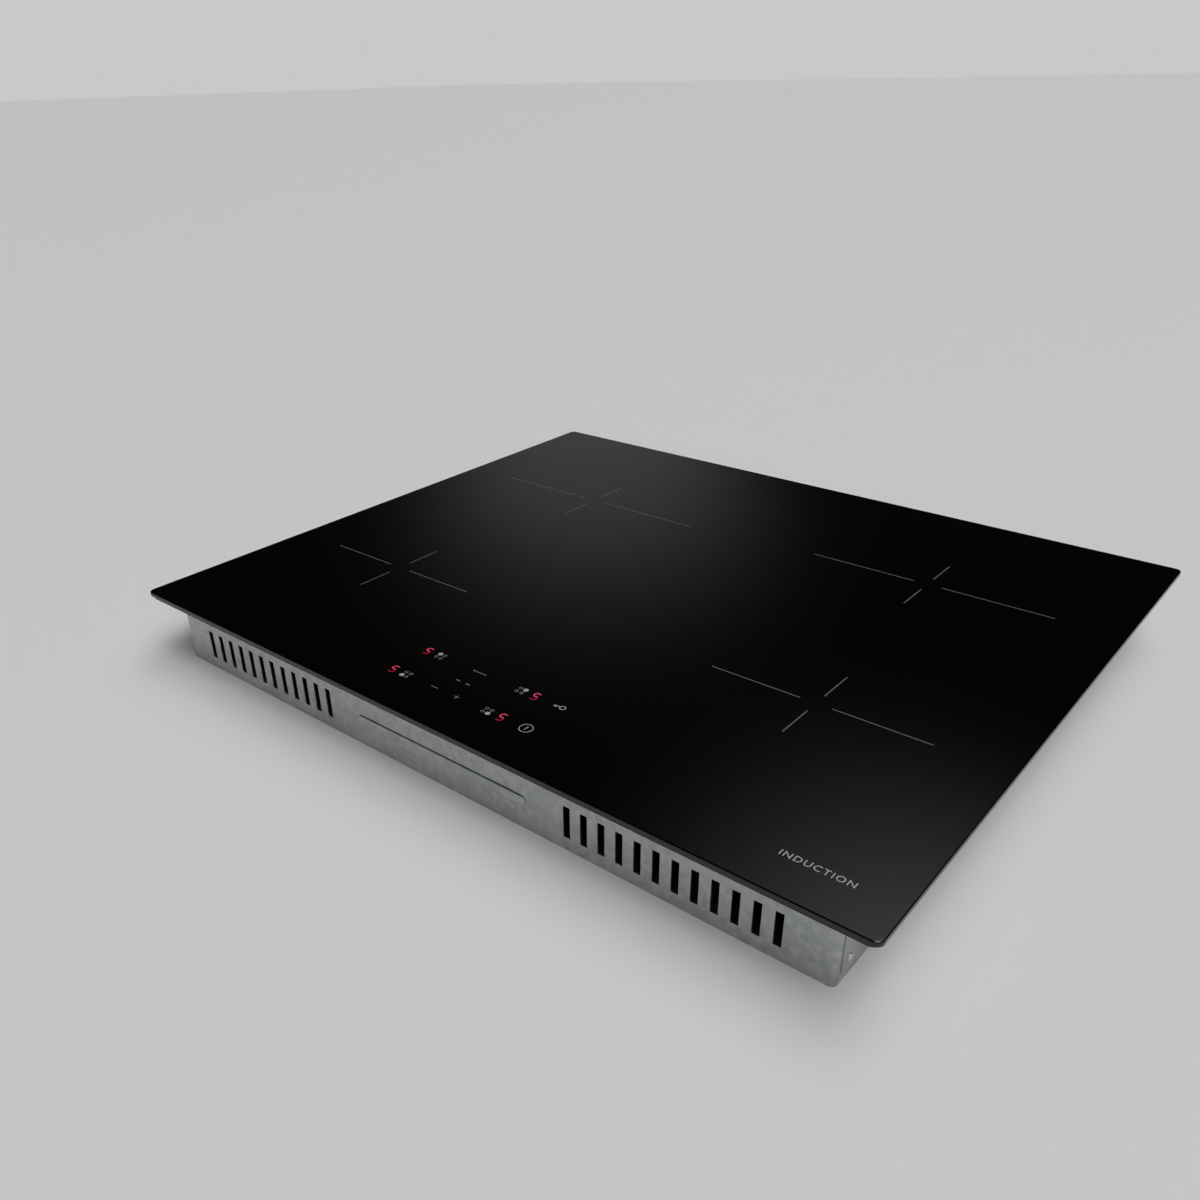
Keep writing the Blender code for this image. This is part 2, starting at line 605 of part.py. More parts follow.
def pair_bounds(side, margin):
    """Left, front, right and rear of a rectangle round the two coils on one side of the cooktop."""
    boxes = []
    for zone in zones_on(side):
        x, y = zone_centre(zone)
        reach = winding_radius(zone) + margin
        boxes.append((x - reach, y - reach, x + reach, y + reach))
    lows, highs = [b[:2] for b in boxes], [b[2:] for b in boxes]
    return (*map(min, zip(*lows)), *map(max, zip(*highs)))


def zones_on(side):
    return [zone for zone, values in ZONES.items() if values[0] == side]


def make_insulation(name, side, finish):
    x0, y0, x1, y1 = pair_bounds(side, INSULATION_MARGIN)
    centre = ((x0 + x1) / 2, (y0 + y1) / 2)
    sheet = rounded((x1 - x0) / 2, (y1 - y0) / 2, INSULATION_MARGIN, centre)
    holes = [circle(SENSOR_RADIUS + SENSOR_CLEARANCE, zone_centre(zone), 16) for zone in zones_on(side)]
    prism(f"insulation_sheet_{name}", [sheet, *holes], INSULATION_LOW, INSULATION_HIGH, finish)


def make_plate(name, side, finish):
    """The aluminium sheet that carries two coils. Its four legs are bent down to the casing's floor."""
    x0, y0, x1, y1 = pair_bounds(side, PLATE_MARGIN)
    holes = [circle(0.2 * ZONES[z][1], (x, y), 16) for z in zones_on(side) for x, y in lead_holes(z)]
    outline = rounded((x1 - x0) / 2, (y1 - y0) / 2, 0.003, ((x0 + x1) / 2, (y0 + y1) / 2), steps=2)
    plate = prism(f"coil_plate_{name}", [outline, *holes], PLATE_LOW, PLATE_HIGH, finish)
    legs = bmesh.new()
    rear = min(y1, TERMINAL_FRONT) - PLATE_LEG_INSET
    for x in (x0, x1 - PLATE_SHEET):
        for y in (y0 + PLATE_LEG_INSET, rear - PLATE_LEG_WIDTH):
            add_box(legs, (x, y, FLOOR), (x + PLATE_SHEET, y + PLATE_LEG_WIDTH, PLATE_LOW + PLATE_SHEET / 2))
    join(plate, legs)


def lead_holes(zone):
    """Where the support plate is open, in front of and behind the zone's sensor."""
    x, y = zone_centre(zone)
    reach = 0.5 * ZONES[zone][1]
    return [(x, y - reach), (x, y + reach)]


# ---------------------------------------------------------------- blowers
def volute(wall):
    """Outline of a right-hand blower's spiral and outlet duct, seen from above, about the rotor's axis."""
    start, turns = math.pi + TONGUE_ANGLE, 2 * math.pi - TONGUE_ANGLE
    base = ROTOR_RADIUS + VOLUTE_CLEARANCE + wall
    points = []
    for angle in arc(start, start + turns, 24):
        radius = base + VOLUTE_GROWTH * (angle - math.pi) / (2 * math.pi)
        points.append((-radius * math.cos(angle), radius * math.sin(angle)))
    far, near = points[-1][0], points[0][0]
    end = -OUTLET_REACH - (0 if wall else TINY)
    return [*points, (far, end), (near, end)]


def mirrored(points, side):
    return points if side > 0 else [(-x, y) for x, y in points[::-1]]


def make_blower(name, side, housing_finish, rotor_finish, motor_finish):
    centre = (side * BLOWER_X, BLOWER_Y, 0)
    floor, roof = FLOOR + BLOWER_WALL, FLOOR + BLOWER_HEIGHT - BLOWER_WALL
    place = Matrix.Translation(centre)

    outer = [mirrored(volute(BLOWER_WALL), side)]
    housing = prism(f"blower_housing_{name}", outer, FLOOR, FLOOR + BLOWER_HEIGHT, housing_finish)
    housing.location = centre
    hollow = add_prism(bmesh.new(), [mirrored(volute(0), side)], floor, roof)
    hollow.transform(place)
    cut(housing, hollow)
    intake = add_cylinder(bmesh.new(), INTAKE_RADIUS, FLOOR - TINY, floor + TINY, steps=24)
    intake.transform(place)
    cut(housing, intake)

    # Rotor: an open drum of blades hung from a disc, round a cup that holds the motor's magnets.
    low, high = floor + 0.0017, roof - 0.0043
    disc = high - ROTOR_DISC
    cup_low = low + 0.0035
    bore = CUP_RADIUS - CUP_WALL
    rotor = add_object(
        f"blower_rotor_{name}",
        turned([
            (0, cup_low), (CUP_RADIUS, cup_low), (CUP_RADIUS, disc), (ROTOR_RADIUS, disc),
            (ROTOR_RADIUS, high),
            (bore, high), (bore, cup_low + CUP_WALL), (SHAFT_RADIUS, cup_low + CUP_WALL),
            (SHAFT_RADIUS, high - 0.004), (0, high - 0.004),
        ]),
        rotor_finish,
    )
    rotor.location = centre
    blades = bmesh.new()
    rim = ROTOR_RADIUS - 2 * GAP
    for blade in range(ROTOR_BLADES):
        lean = Matrix.Rotation(2 * math.pi * blade / ROTOR_BLADES, 4, "Z")
        lean = place @ lean @ Matrix.Translation((rim - BLADE_DEPTH * math.cos(BLADE_LEAN), 0, 0))
        lean = lean @ Matrix.Rotation(side * BLADE_LEAN, 4, "Z")
        outline = rectangle(0, -BLADE_SHEET / 2, BLADE_DEPTH, BLADE_SHEET / 2)
        add_prism(blades, [outline], low + 0.0005, disc + ROTOR_DISC / 2, lean)
    join(rotor, blades)
    ring = [circle(r, centre[:2], 24) for r in (ROTOR_RADIUS, ROTOR_RADIUS - ROTOR_RING_WIDTH)]
    join(rotor, add_prism(bmesh.new(), ring, low, low + ROTOR_DISC))

    # Motor: a stator inside the cup, hung from the housing's roof, with a bearing bore for the shaft.
    stator, bearing = bore - MOTOR_CLEARANCE, SHAFT_RADIUS + SHAFT_CLEARANCE
    flange, stator_low = CUP_RADIUS + 0.006, cup_low + CUP_WALL + 0.0015
    motor = turned([
        (bearing, stator_low), (stator, stator_low), (stator, roof - 0.0022), (flange, roof - 0.0022),
        (flange, roof - GAP), (bearing, roof - GAP),
    ])
    add_object(f"blower_motor_{name}", motor, motor_finish).location = centre


# ---------------------------------------------------------------- electronics
def outlet_middle():
    """How far the middle of a blower's outlet is from the cooktop's middle."""
    outline = volute(0)
    return BLOWER_X + (outline[-1][0] + outline[-2][0]) / 2


def board_corners(side):
    inner, outer = side * BOARD_INNER_X, side * BOARD_OUTER_X
    return min(inner, outer), BOARD_FRONT, max(inner, outer), BOARD_REAR


def peg_places(x0, y0, x1, y1):
    return [(x, y) for x in (x0 + PEG_INSET, x1 - PEG_INSET) for y in (y0 + PEG_INSET, y1 - PEG_INSET)]


def make_tray(name, side, finish):
    x0, y0, x1, y1 = board_corners(side)
    reach = TRAY_CLEARANCE
    floor = rectangle(x0 - reach, y0 - reach, x1 + reach, y1 + reach)
    tray = prism(f"board_tray_{name}", [floor], FLOOR, FLOOR + TRAY_WALL + TRAY_HEIGHT, finish)
    inside = rectangle(*(v + s * (reach - TRAY_WALL) for v, s in zip((x0, y0, x1, y1), (-1, -1, 1, 1))))
    cut(tray, add_prism(bmesh.new(), [inside], FLOOR + TRAY_WALL, BOARD_HIGH + TRAY_HEIGHT))
    pegs = bmesh.new()
    for place in peg_places(x0, y0, x1, y1):
        add_cylinder(pegs, PEG_RADIUS, FLOOR + TRAY_WALL / 2, BOARD_LOW - GAP, place, steps=12)
    join(tray, pegs)


def add_components(bm, corner, side, parts, cans, high):
    """Adds box and can components that stand on a board, measured from its corner nearest the middle."""
    sunk = high - BOARD_SHEET / 2
    for along, back, size_x, size_y, height in parts:
        x, y = corner[0] + side * along, corner[1] + back
        add_box(bm, (x - size_x / 2, y - size_y / 2, sunk), (x + size_x / 2, y + size_y / 2, high + height))
    for along, back, radius, height in cans:
        add_cylinder(bm, radius, sunk, high + height, (corner[0] + side * along, corner[1] + back), steps=20)
    return bm


def make_power_board(name, side, finish):
    x0, y0, x1, y1 = board_corners(side)
    board = prism(f"power_board_{name}", [rectangle(x0, y0, x1, y1)], BOARD_LOW, BOARD_HIGH, finish)
    sink = (side * outlet_middle(), BOARD_REAR - HEATSINK_LENGTH)
    clear = HEATSINK_WIDTH / 2 + 2 * GAP

    def fits(part):
        """Leaves out a component that would stand in the heatsink or past the board's edge."""
        half_x, half_y = (part[2] / 2, part[3] / 2) if len(part) == 5 else (part[2], part[2])
        x, y = side * (side * BOARD_INNER_X + side * part[0]), y0 + part[1]
        beside = abs(x - side * sink[0]) > clear + half_x or y + half_y < sink[1] - GAP
        return beside and x + half_x < BOARD_OUTER_X and y + half_y < y1

    corner = (side * BOARD_INNER_X, y0)
    parts, cans = filter(fits, POWER_PARTS), filter(fits, POWER_CANS)
    join(board, add_components(bmesh.new(), corner, side, parts, cans, BOARD_HIGH))


def make_heatsink(name, side, finish):
    """A comb extrusion in line with the blower's outlet, fins along the air's way."""
    half, pitch = HEATSINK_WIDTH / 2, (HEATSINK_WIDTH - FIN_SHEET) / (FIN_COUNT - 1)
    low = BOARD_HIGH + GAP
    outline = [(-half, low), (half, low)]
    for fin in range(FIN_COUNT - 1, -1, -1):
        left = -half + fin * pitch
        foot, top = low + HEATSINK_BASE, low + HEATSINK_HEIGHT
        outline += [(left + FIN_SHEET, foot), (left + FIN_SHEET, top), (left, top), (left, foot)]
    outline = [outline[0], outline[1], *outline[3:-1]]
    sink = prism(f"heatsink_{name}", [outline], 0, HEATSINK_LENGTH, finish, UPRIGHT_XZ)
    sink.location = (side * outlet_middle(), BOARD_REAR - GAP, 0)


def filter_bounds():
    """The filter board stands between the coil plates and the board trays, before the mains terminal."""
    trays = BOARD_INNER_X - TRAY_CLEARANCE
    left = max(pair_bounds(-1, PLATE_MARGIN)[2], -trays)
    right = min(pair_bounds(1, PLATE_MARGIN)[0], trays)
    rear = TERMINAL_FRONT - 3 * FILTER_MARGIN
    return left + FILTER_MARGIN, rear - FILTER_BOARD_DEPTH, right - FILTER_MARGIN, rear


def make_filter_board(finish):
    x0, y0, x1, y1 = filter_bounds()
    board = prism("filter_board", [rectangle(x0, y0, x1, y1)], BOARD_LOW, BOARD_HIGH, finish)
    bm = add_components(bmesh.new(), (x0, y0), 1, FILTER_PARTS, FILTER_CANS, BOARD_HIGH)
    for place in peg_places(x0, y0, x1, y1):
        add_cylinder(bm, PEG_RADIUS, FLOOR, BOARD_LOW + BOARD_SHEET / 2, place, steps=12)
    join(board, bm)


# ---------------------------------------------------------------- touch controls
def touch_bounds():
    half = TOUCH_BOARD_DEPTH / 2
    return PANEL_X - TOUCH_BOARD_LEFT, PANEL_Y - half, PANEL_X + TOUCH_BOARD_RIGHT, PANEL_Y + half


def make_touch_board(finish):
    """The board under the control field, with the spring contact of each touch key soldered to it."""
    board = prism("touch_board", [rectangle(*touch_bounds())], TOUCH_LOW, TOUCH_HIGH, finish)
    bm = bmesh.new()
    for x, row in KEYS:
        place = (PANEL_X + x, PANEL_Y + row * ROW_REACH)
        add_cylinder(bm, KEY_RADIUS, TOUCH_LOW + BOARD_SHEET / 2, GLASS_LOW - GAP, place, steps=10)
    join(board, bm)


def make_touch_holder(finish):
    x0, y0, x1, y1 = touch_bounds()
    reach = HOLDER_WALL + 2 * GAP
    low = TOUCH_LOW - GAP - HOLDER_FLOOR
    outer = rectangle(x0 - reach, y0 - reach, x1 + reach, y1 + reach)
    holder = prism("touch_board_holder", [outer], low, TOUCH_HIGH, finish)
    inside = rectangle(x0 - 2 * GAP, y0 - 2 * GAP, x1 + 2 * GAP, y1 + 2 * GAP)
    cut(holder, add_prism(bmesh.new(), [inside], TOUCH_LOW - GAP, TOUCH_HIGH + TINY))
    legs = bmesh.new()
    for place in peg_places(x0, y0, x1, y1):
        add_cylinder(legs, HOLDER_LEG, FLOOR, low + HOLDER_FLOOR / 2, place, steps=16)
    join(holder, legs)


def make_display(finish):
    """The light box of the five displays: two columns of digits, joined by a bar with the timer."""
    wall = DISPLAY_WALL
    arm_in = DIGIT_X - DIGIT_WIDTH / 2 - wall
    arm_out = DIGIT_X + DIGIT_WIDTH / 2 + wall
    arm_y = ROW_REACH + DIGIT_HEIGHT / 2 + wall
    bar_y = DIGIT_HEIGHT / 2 + wall
    outline = [
        (-arm_out, -arm_y), (-arm_in, -arm_y), (-arm_in, -bar_y), (arm_in, -bar_y),
        (arm_in, -arm_y), (arm_out, -arm_y), (arm_out, arm_y), (arm_in, arm_y),
        (arm_in, bar_y), (-arm_in, bar_y), (-arm_in, arm_y), (-arm_out, arm_y),
    ]
    windows = [(sx * DIGIT_X, sy * ROW_REACH, DIGIT_WIDTH / 2) for sx in (-1, 1) for sy in (-1, 1)]
    windows.append((0, 0, TIMER_WIDTH / 2))
    half = DIGIT_HEIGHT / 2
    holes = [rectangle(x - w, y - half, x + w, y + half) for x, y, w in windows]
    frame = prism("display_light_box", [outline, *holes], TOUCH_HIGH + GAP, GLASS_LOW - GAP, finish)
    frame.location = (PANEL_X, PANEL_Y, 0)


# ---------------------------------------------------------------- mains terminal and wiring
def make_terminal_box(finish):
    """A box against the rear wall, open to the rear for the cover, with a round cable inlet beside it."""
    half, wall = TERMINAL_HALF_WIDTH, TERMINAL_WALL
    outer = rectangle(-half, TERMINAL_FRONT, half, TERMINAL_REAR)
    box = prism("terminal_box", [outer], FLOOR, TERMINAL_HIGH, finish)
    inside = rectangle(-half + wall, TERMINAL_FRONT + wall, half - wall, TERMINAL_REAR - wall)
    cut(box, add_prism(bmesh.new(), [inside], FLOOR + wall, TERMINAL_HIGH - wall))
    ports = bmesh.new()
    front = HINGE_Y - BARREL_RADIUS - COVER_CLEARANCE
    rear, top = TERMINAL_REAR + TINY, TERMINAL_HIGH - wall
    add_box(ports, (COVER_LEFT, front, FLOOR - TINY), (COVER_RIGHT, rear, top))
    inlet = wall_turn((INLET_X, TERMINAL_REAR), (0, 1), INLET_Z)
    add_cylinder(ports, INLET_RADIUS, -wall - TINY, TINY, turn=inlet)
    loom = wall_turn((LOOM_X, TERMINAL_FRONT), (0, -1), LOOM_Z)
    add_cylinder(ports, LOOM_RADIUS + LOOM_CLEARANCE, -wall - TINY, TINY, turn=loom)
    cut(box, ports)
    pins = bmesh.new()
    for x, inward in ((COVER_LEFT, 1), (COVER_RIGHT, -1)):
        turn = wall_turn((x, HINGE_Y), (inward, 0), HINGE_Z)
        add_cylinder(pins, HINGE_PIN_RADIUS, -wall / 2, HINGE_PIN_LENGTH, steps=16, turn=turn)
    join(box, pins)


def make_terminal_cover(finish):
    """Closes the terminal box from the rear. Its lower edge is a barrel that turns on the box's pins."""
    left, right = COVER_LEFT + COVER_CLEARANCE, COVER_RIGHT - COVER_CLEARANCE
    half = (TERMINAL_WALL - GAP) / 2
    top = TERMINAL_HIGH - TERMINAL_WALL - COVER_CLEARANCE - HINGE_Z
    bm = add_box(bmesh.new(), (left, -half, 0), (right, half, top))
    cover = add_object("terminal_cover", bm, finish)
    cover.location = (0, HINGE_Y, HINGE_Z)
    barrel, bores = bmesh.new(), bmesh.new()
    turn = wall_turn((left, HINGE_Y), (1, 0), HINGE_Z)
    add_cylinder(barrel, BARREL_RADIUS, 0, right - left, steps=20, turn=turn)
    for x, inward in ((left, 1), (right, -1)):
        turn = wall_turn((x, HINGE_Y), (inward, 0), HINGE_Z)
        radius = HINGE_PIN_RADIUS + HINGE_CLEARANCE
        add_cylinder(bores, radius, -TINY, HINGE_PIN_LENGTH, steps=16, turn=turn)
    join(cover, barrel)
    cut(cover, bores)


def make_terminal_block(finish):
    """A row of screw terminals that face the cover, with a rib between poles."""
    low, front = FLOOR + TERMINAL_WALL + GAP, TERMINAL_FRONT + TERMINAL_WALL + GAP
    half, rear, high = BLOCK_HALF_WIDTH, front + BLOCK_DEPTH, low + BLOCK_HEIGHT
    body = add_box(bmesh.new(), (BLOCK_X - half, front, low), (BLOCK_X + half, rear, high))
    block = add_object("terminal_block", body, finish)
    pitch, rib = 2 * half / BLOCK_POLES, 0.0016
    ribs, wells = bmesh.new(), bmesh.new()
    for pole in range(BLOCK_POLES - 1):
        x = BLOCK_X - half + (pole + 1) * pitch
        add_box(ribs, (x - rib / 2, rear - rib, low + rib), (x + rib / 2, rear + 2 * rib, high - rib))
    for pole in range(BLOCK_POLES):
        x = BLOCK_X - half + (pole + 0.5) * pitch
        turn = wall_turn((x, rear), (0, 1), low + 0.65 * BLOCK_HEIGHT)
        add_cylinder(wells, 0.3 * pitch, -0.4 * BLOCK_DEPTH, TINY, steps=10, turn=turn)
    join(block, ribs)
    cut(block, wells)


def make_supply_loom(finish):
    """The insulated bundle from the terminal block to the filter board."""
    x0, y0, _, _ = filter_bounds()
    connector = FILTER_PARTS[-1]
    end_y = y0 + connector[1] + connector[3] / 2 + GAP
    end_z = BOARD_HIGH + connector[4] / 2
    run = smooth_run((TERMINAL_FRONT + TERMINAL_WALL, LOOM_Z), (end_y, end_z), 8)
    curve = bpy.data.curves.new("supply_loom", "CURVE")
    curve.dimensions = "3D"
    curve.bevel_depth = LOOM_RADIUS
    curve.bevel_resolution = 2
    curve.use_fill_caps = True
    spline = curve.splines.new("POLY")
    spline.points.add(len(run) - 1)
    for point, (y, z) in zip(spline.points, run):
        point.co = (LOOM_X, y, z, 1)
    loom = bpy.data.objects.new("supply_loom", curve)
    bpy.context.scene.collection.objects.link(loom)
    curve.materials.append(finish)


def make_ribbon(finish):
    """The flat cable from the touch board's rear edge to the filter board's front edge."""
    start = (touch_bounds()[3] + HOLDER_WALL + 4 * GAP, TOUCH_LOW)
    end = (filter_bounds()[1] - GAP, BOARD_LOW + BOARD_SHEET / 2)
    outline = strip(smooth_run(start, end, 14), RIBBON_SHEET)
    low, high = RIBBON_X - RIBBON_WIDTH / 2, RIBBON_X + RIBBON_WIDTH / 2
    prism("ribbon_cable", [outline], low, high, finish, UPRIGHT_YZ)


def main():
    clear_scene()
    black_glass = material("black_glass", (0.008, 0.008, 0.009), 0.06)
    foam = material("seal_foam", (0.02, 0.02, 0.02), 0.9)
    zinc = material("zinc_steel", (0.52, 0.54, 0.56), 0.42, 1.0)
    spring = material("spring_steel", (0.62, 0.60, 0.56), 0.3, 1.0)
    copper = material("litz_copper", (0.55, 0.25, 0.12), 0.45, 1.0)
    carrier = material("carrier_plastic", (0.06, 0.06, 0.065), 0.55)
    ferrite = material("ferrite", (0.05, 0.05, 0.055), 0.6)
    mica = material("mica_sheet", (0.55, 0.50, 0.42), 0.7)
    aluminium = material("aluminium", (0.78, 0.79, 0.80), 0.35, 1.0)
    silicone = material("sensor_silicone", (0.75, 0.73, 0.68), 0.6)
    black_plastic = material("black_plastic", (0.03, 0.03, 0.032), 0.5)
    white_plastic = material("white_plastic", (0.80, 0.79, 0.75), 0.45)
    motor = material("motor_varnish", (0.35, 0.12, 0.06), 0.4)
    board = material("board_green", (0.03, 0.16, 0.07), 0.4)
    cable = material("cable_grey", (0.45, 0.45, 0.46), 0.5)

    make_glass(black_glass)
    make_seal(foam)
    make_rails(zinc)
    make_case(zinc)
    make_screws(zinc)
    make_clips(spring)
    for zone in ZONES:
        make_winding(zone, copper)
        make_carrier(zone, carrier)
        make_ferrites(zone, ferrite)
        make_sensor(zone, silicone)
    for name, side in (("left", -1), ("right", 1)):
        make_insulation(name, side, mica)
        make_plate(name, side, aluminium)
        make_blower(name, side, black_plastic, black_plastic, motor)
        make_tray(name, side, white_plastic)
        make_power_board(name, side, board)
        make_heatsink(name, side, aluminium)
    make_filter_board(board)
    make_touch_board(board)
    make_touch_holder(black_plastic)
    make_display(white_plastic)
    make_terminal_box(black_plastic)
    make_terminal_cover(black_plastic)
    make_terminal_block(white_plastic)
    make_supply_loom(cable)
    make_ribbon(cable)


main()
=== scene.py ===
"""Finishes, marks and fine parts of a built-in induction cooktop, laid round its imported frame.

Metres, +Z up, in the frame's own axes: +X is the user's right, +Y points to the wall behind the
cooktop, and the casing stands on the floor at Z = 0.
"""

import json
import math

import bmesh
import bpy
from bpy.props import FloatProperty, FloatVectorProperty, IntProperty, PointerProperty, StringProperty
from mathutils import Matrix, Vector


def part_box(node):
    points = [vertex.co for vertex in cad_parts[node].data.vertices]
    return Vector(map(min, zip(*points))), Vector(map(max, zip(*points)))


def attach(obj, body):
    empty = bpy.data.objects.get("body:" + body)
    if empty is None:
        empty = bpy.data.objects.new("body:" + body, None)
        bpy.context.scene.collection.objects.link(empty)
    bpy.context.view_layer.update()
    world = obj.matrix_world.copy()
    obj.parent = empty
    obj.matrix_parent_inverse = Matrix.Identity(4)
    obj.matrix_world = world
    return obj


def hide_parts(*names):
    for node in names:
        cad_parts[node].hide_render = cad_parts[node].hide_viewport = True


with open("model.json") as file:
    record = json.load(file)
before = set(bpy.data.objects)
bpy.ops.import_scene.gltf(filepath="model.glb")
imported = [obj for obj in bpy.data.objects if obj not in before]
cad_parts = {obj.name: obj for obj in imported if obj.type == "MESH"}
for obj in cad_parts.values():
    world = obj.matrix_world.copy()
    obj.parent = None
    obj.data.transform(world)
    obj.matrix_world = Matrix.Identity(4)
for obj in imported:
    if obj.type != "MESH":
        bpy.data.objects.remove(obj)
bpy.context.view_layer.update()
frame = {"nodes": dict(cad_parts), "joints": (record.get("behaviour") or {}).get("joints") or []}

bl_info = {
    "name": "Induction Cooktop Finisher",
    "version": (1, 0, 0),
    "blender": (4, 5, 0),
    "location": "View3D > Sidebar > Cooktop",
    "description": "Builds the glass, the printed marks, the fine parts and the finishes of a cooktop",
    "category": "Add Mesh",
}

MM = 0.001
WELD = 1e-7  # points closer than this are one point
GLASS_LOW, GLASS_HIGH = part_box("glass_panel")
TOP = GLASS_HIGH[2]
ZONES = ("front_left", "rear_left", "rear_right", "front_right")
SIDES = {"left": -1, "right": 1}
ENDS = {"front": -1, "rear": 1}


def box(node):
    """The low and the high corner of a frame node's box."""
    return [Vector(corner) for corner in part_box(node)]


def middle(node):
    """The centre of a frame node's box."""
    low, high = box(node)
    return (low + high) / 2


def size(node):
    """The extent of a frame node's box."""
    low, high = box(node)
    return high - low


def pivot(joint):
    """The point that a joint turns about."""
    return Vector(next(j for j in frame["joints"] if j["name"] == joint)["pos_m"])


# ---------------------------------------------------------------- settings
class CooktopGlass(bpy.types.PropertyGroup):
    corner: FloatProperty(
        name="Corner radius", description="Radius of the panel's corners seen from above",
        default=5.0 * MM, unit="LENGTH",
    )
    edge: FloatProperty(
        name="Ground edge", description="Width of the ground and polished edge",
        default=1.1 * MM, unit="LENGTH",
    )
    colour: StringProperty(
        name="Colour", description="Body colour of the glass-ceramic", default="#010102",
    )


class CooktopPrint(bpy.types.PropertyGroup):
    line: FloatProperty(
        name="Line width", description="Width of a printed line", default=0.9 * MM, unit="LENGTH",
    )
    height: FloatProperty(
        name="Print height", description="How far the fired print stands on the glass",
        default=0.04 * MM, unit="LENGTH",
    )
    arm_side: FloatProperty(
        name="Cross height", description="Front-to-rear length of a zone's cross",
        default=81.0 * MM, unit="LENGTH",
    )
    gap: FloatProperty(
        name="Cross gap", description="Open space round the middle of a cross, to each side",
        default=10.8 * MM, unit="LENGTH",
    )
    zone_colour: StringProperty(
        name="Zone marks", description="Colour of the zones' print", default="#575757",
    )
    key_colour: StringProperty(
        name="Key marks", description="Colour of the keys' print", default="#a2a3a1",
    )
    mark_text: StringProperty(
        name="Mark", description="Generic word at the front corner", default="INDUCTION",
    )


class CooktopDisplay(bpy.types.PropertyGroup):
    digit_height: FloatProperty(
        name="Digit height", description="Height of a seven-segment digit", default=7.4 * MM, unit="LENGTH",
    )
    digit_width: FloatProperty(
        name="Digit width", description="Width of a seven-segment digit", default=3.9 * MM, unit="LENGTH",
    )
    segment: FloatProperty(
        name="Segment", description="Width of one lit segment", default=0.95 * MM, unit="LENGTH",
    )
    glow: FloatProperty(name="Glow", description="Light given off by a lit segment", default=1.0, min=0.0)
    # The upper segments glow a paler pink than the lower ones: a painted highlight over the top half of each
    # digit.
    painted_highlight_colour: StringProperty(
        name="Lit colour", description="Colour of the upper lit segments", default="#cc4468",
    )
    low_colour: StringProperty(
        name="Low colour", description="Colour of the lower lit segments", default="#98102f",
    )


class CooktopInside(bpy.types.PropertyGroup):
    wire: FloatProperty(
        name="Litz bundle", description="Diameter of the coils' stranded wire",
        default=3.9 * MM, unit="LENGTH",
    )
    blades: IntProperty(name="Blades", description="Blades on each blower rotor", default=30, min=6)
    blade_sheet: FloatProperty(
        name="Blade thickness", description="Wall of one blower blade", default=0.9 * MM, unit="LENGTH",
    )
    tin_colour: StringProperty(name="Tin", description="Colour of tinned legs and pins", default="#c9cbcc")


class CooktopCasing(bpy.types.PropertyGroup):
    screw_head: FloatProperty(
        name="Screw head", description="Diameter of a casing screw's pan head",
        default=7.2 * MM, unit="LENGTH",
    )
    bead_height: FloatProperty(
        name="Bead height", description="How far a stiffening bead stands out of the sheet",
        default=0.9 * MM, unit="LENGTH",
    )


class CooktopStage(bpy.types.PropertyGroup):
    camera_place: FloatVectorProperty(
        name="Camera place", description="Where the camera stands", subtype="TRANSLATION", unit="LENGTH",
        default=(0.41786, -0.60242, TOP + 0.33574),
    )
    camera_turn: FloatVectorProperty(
        name="Camera turn", description="Which way the camera points", subtype="EULER", unit="ROTATION",
        default=[math.radians(angle) for angle in (59.25965, 1.23806, 40.29292)],
    )
    lens: FloatProperty(
        name="Lens", description="Focal length in millimetres on a 36 mm sensor", default=31.4577,
    )
    floor_colour: StringProperty(name="Floor", description="Colour of the studio floor", default="#dcdcda")


# ---------------------------------------------------------------- mesh helpers
def linear(hex_colour):
    """An sRGB hex colour as linear red, green, blue and alpha."""
    parts = [int(hex_colour[i:i + 2], 16) / 255 for i in (1, 3, 5)]
    return (*[p / 12.92 if p <= 0.04045 else ((p + 0.055) / 1.055) ** 2.4 for p in parts], 1.0)


def finished(name, bm, finishes, body="hob", replaces=(), smooth=35):
    """Makes the bmesh a piece in place, with its finishes, body, slot and the nodes that it stands for."""
    bmesh.ops.recalc_face_normals(bm, faces=bm.faces)
    mesh = bpy.data.meshes.new(name)
    bm.to_mesh(mesh)
    bm.free()
    obj = bpy.data.objects.new(name, mesh)
    bpy.context.scene.collection.objects.link(obj)
    if smooth:
        mesh.shade_smooth()
        mesh.set_sharp_from_angle(angle=math.radians(smooth))
        # Flat faces beside rounded edges stay flat to the light.
        obj.modifiers.new("flat_faces", "WEIGHTED_NORMAL").keep_sharp = True
    for key in finishes.split():
        mesh.materials.append(finish(key))
    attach(obj, body)
    if replaces:
        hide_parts(*replaces)
    return obj


def add_block(bm, low, high, bevel=0.0, segments=2, index=0, turn=None):
    """A box with its edges rounded by bevel."""
    low, high = Vector(low), Vector(high)
    place = Matrix.Translation((low + high) / 2) @ Matrix.Diagonal((*(high - low), 1.0))
    made = bmesh.ops.create_cube(bm, size=1.0, matrix=place)
    verts = made["verts"]
    if bevel:
        edges = list({e for v in verts for e in v.link_edges})
        rounded = bmesh.ops.bevel(
            bm, geom=edges, offset=bevel, segments=segments, profile=0.5, affect="EDGES", material=-1,
        )
        verts = list({v for f in rounded["faces"] for v in f.verts} | {v for v in verts if v.is_valid})
    for face in {f for v in verts for f in v.link_faces}:
        face.material_index = index
    if turn:
        bmesh.ops.transform(bm, matrix=turn, verts=verts)
    return verts


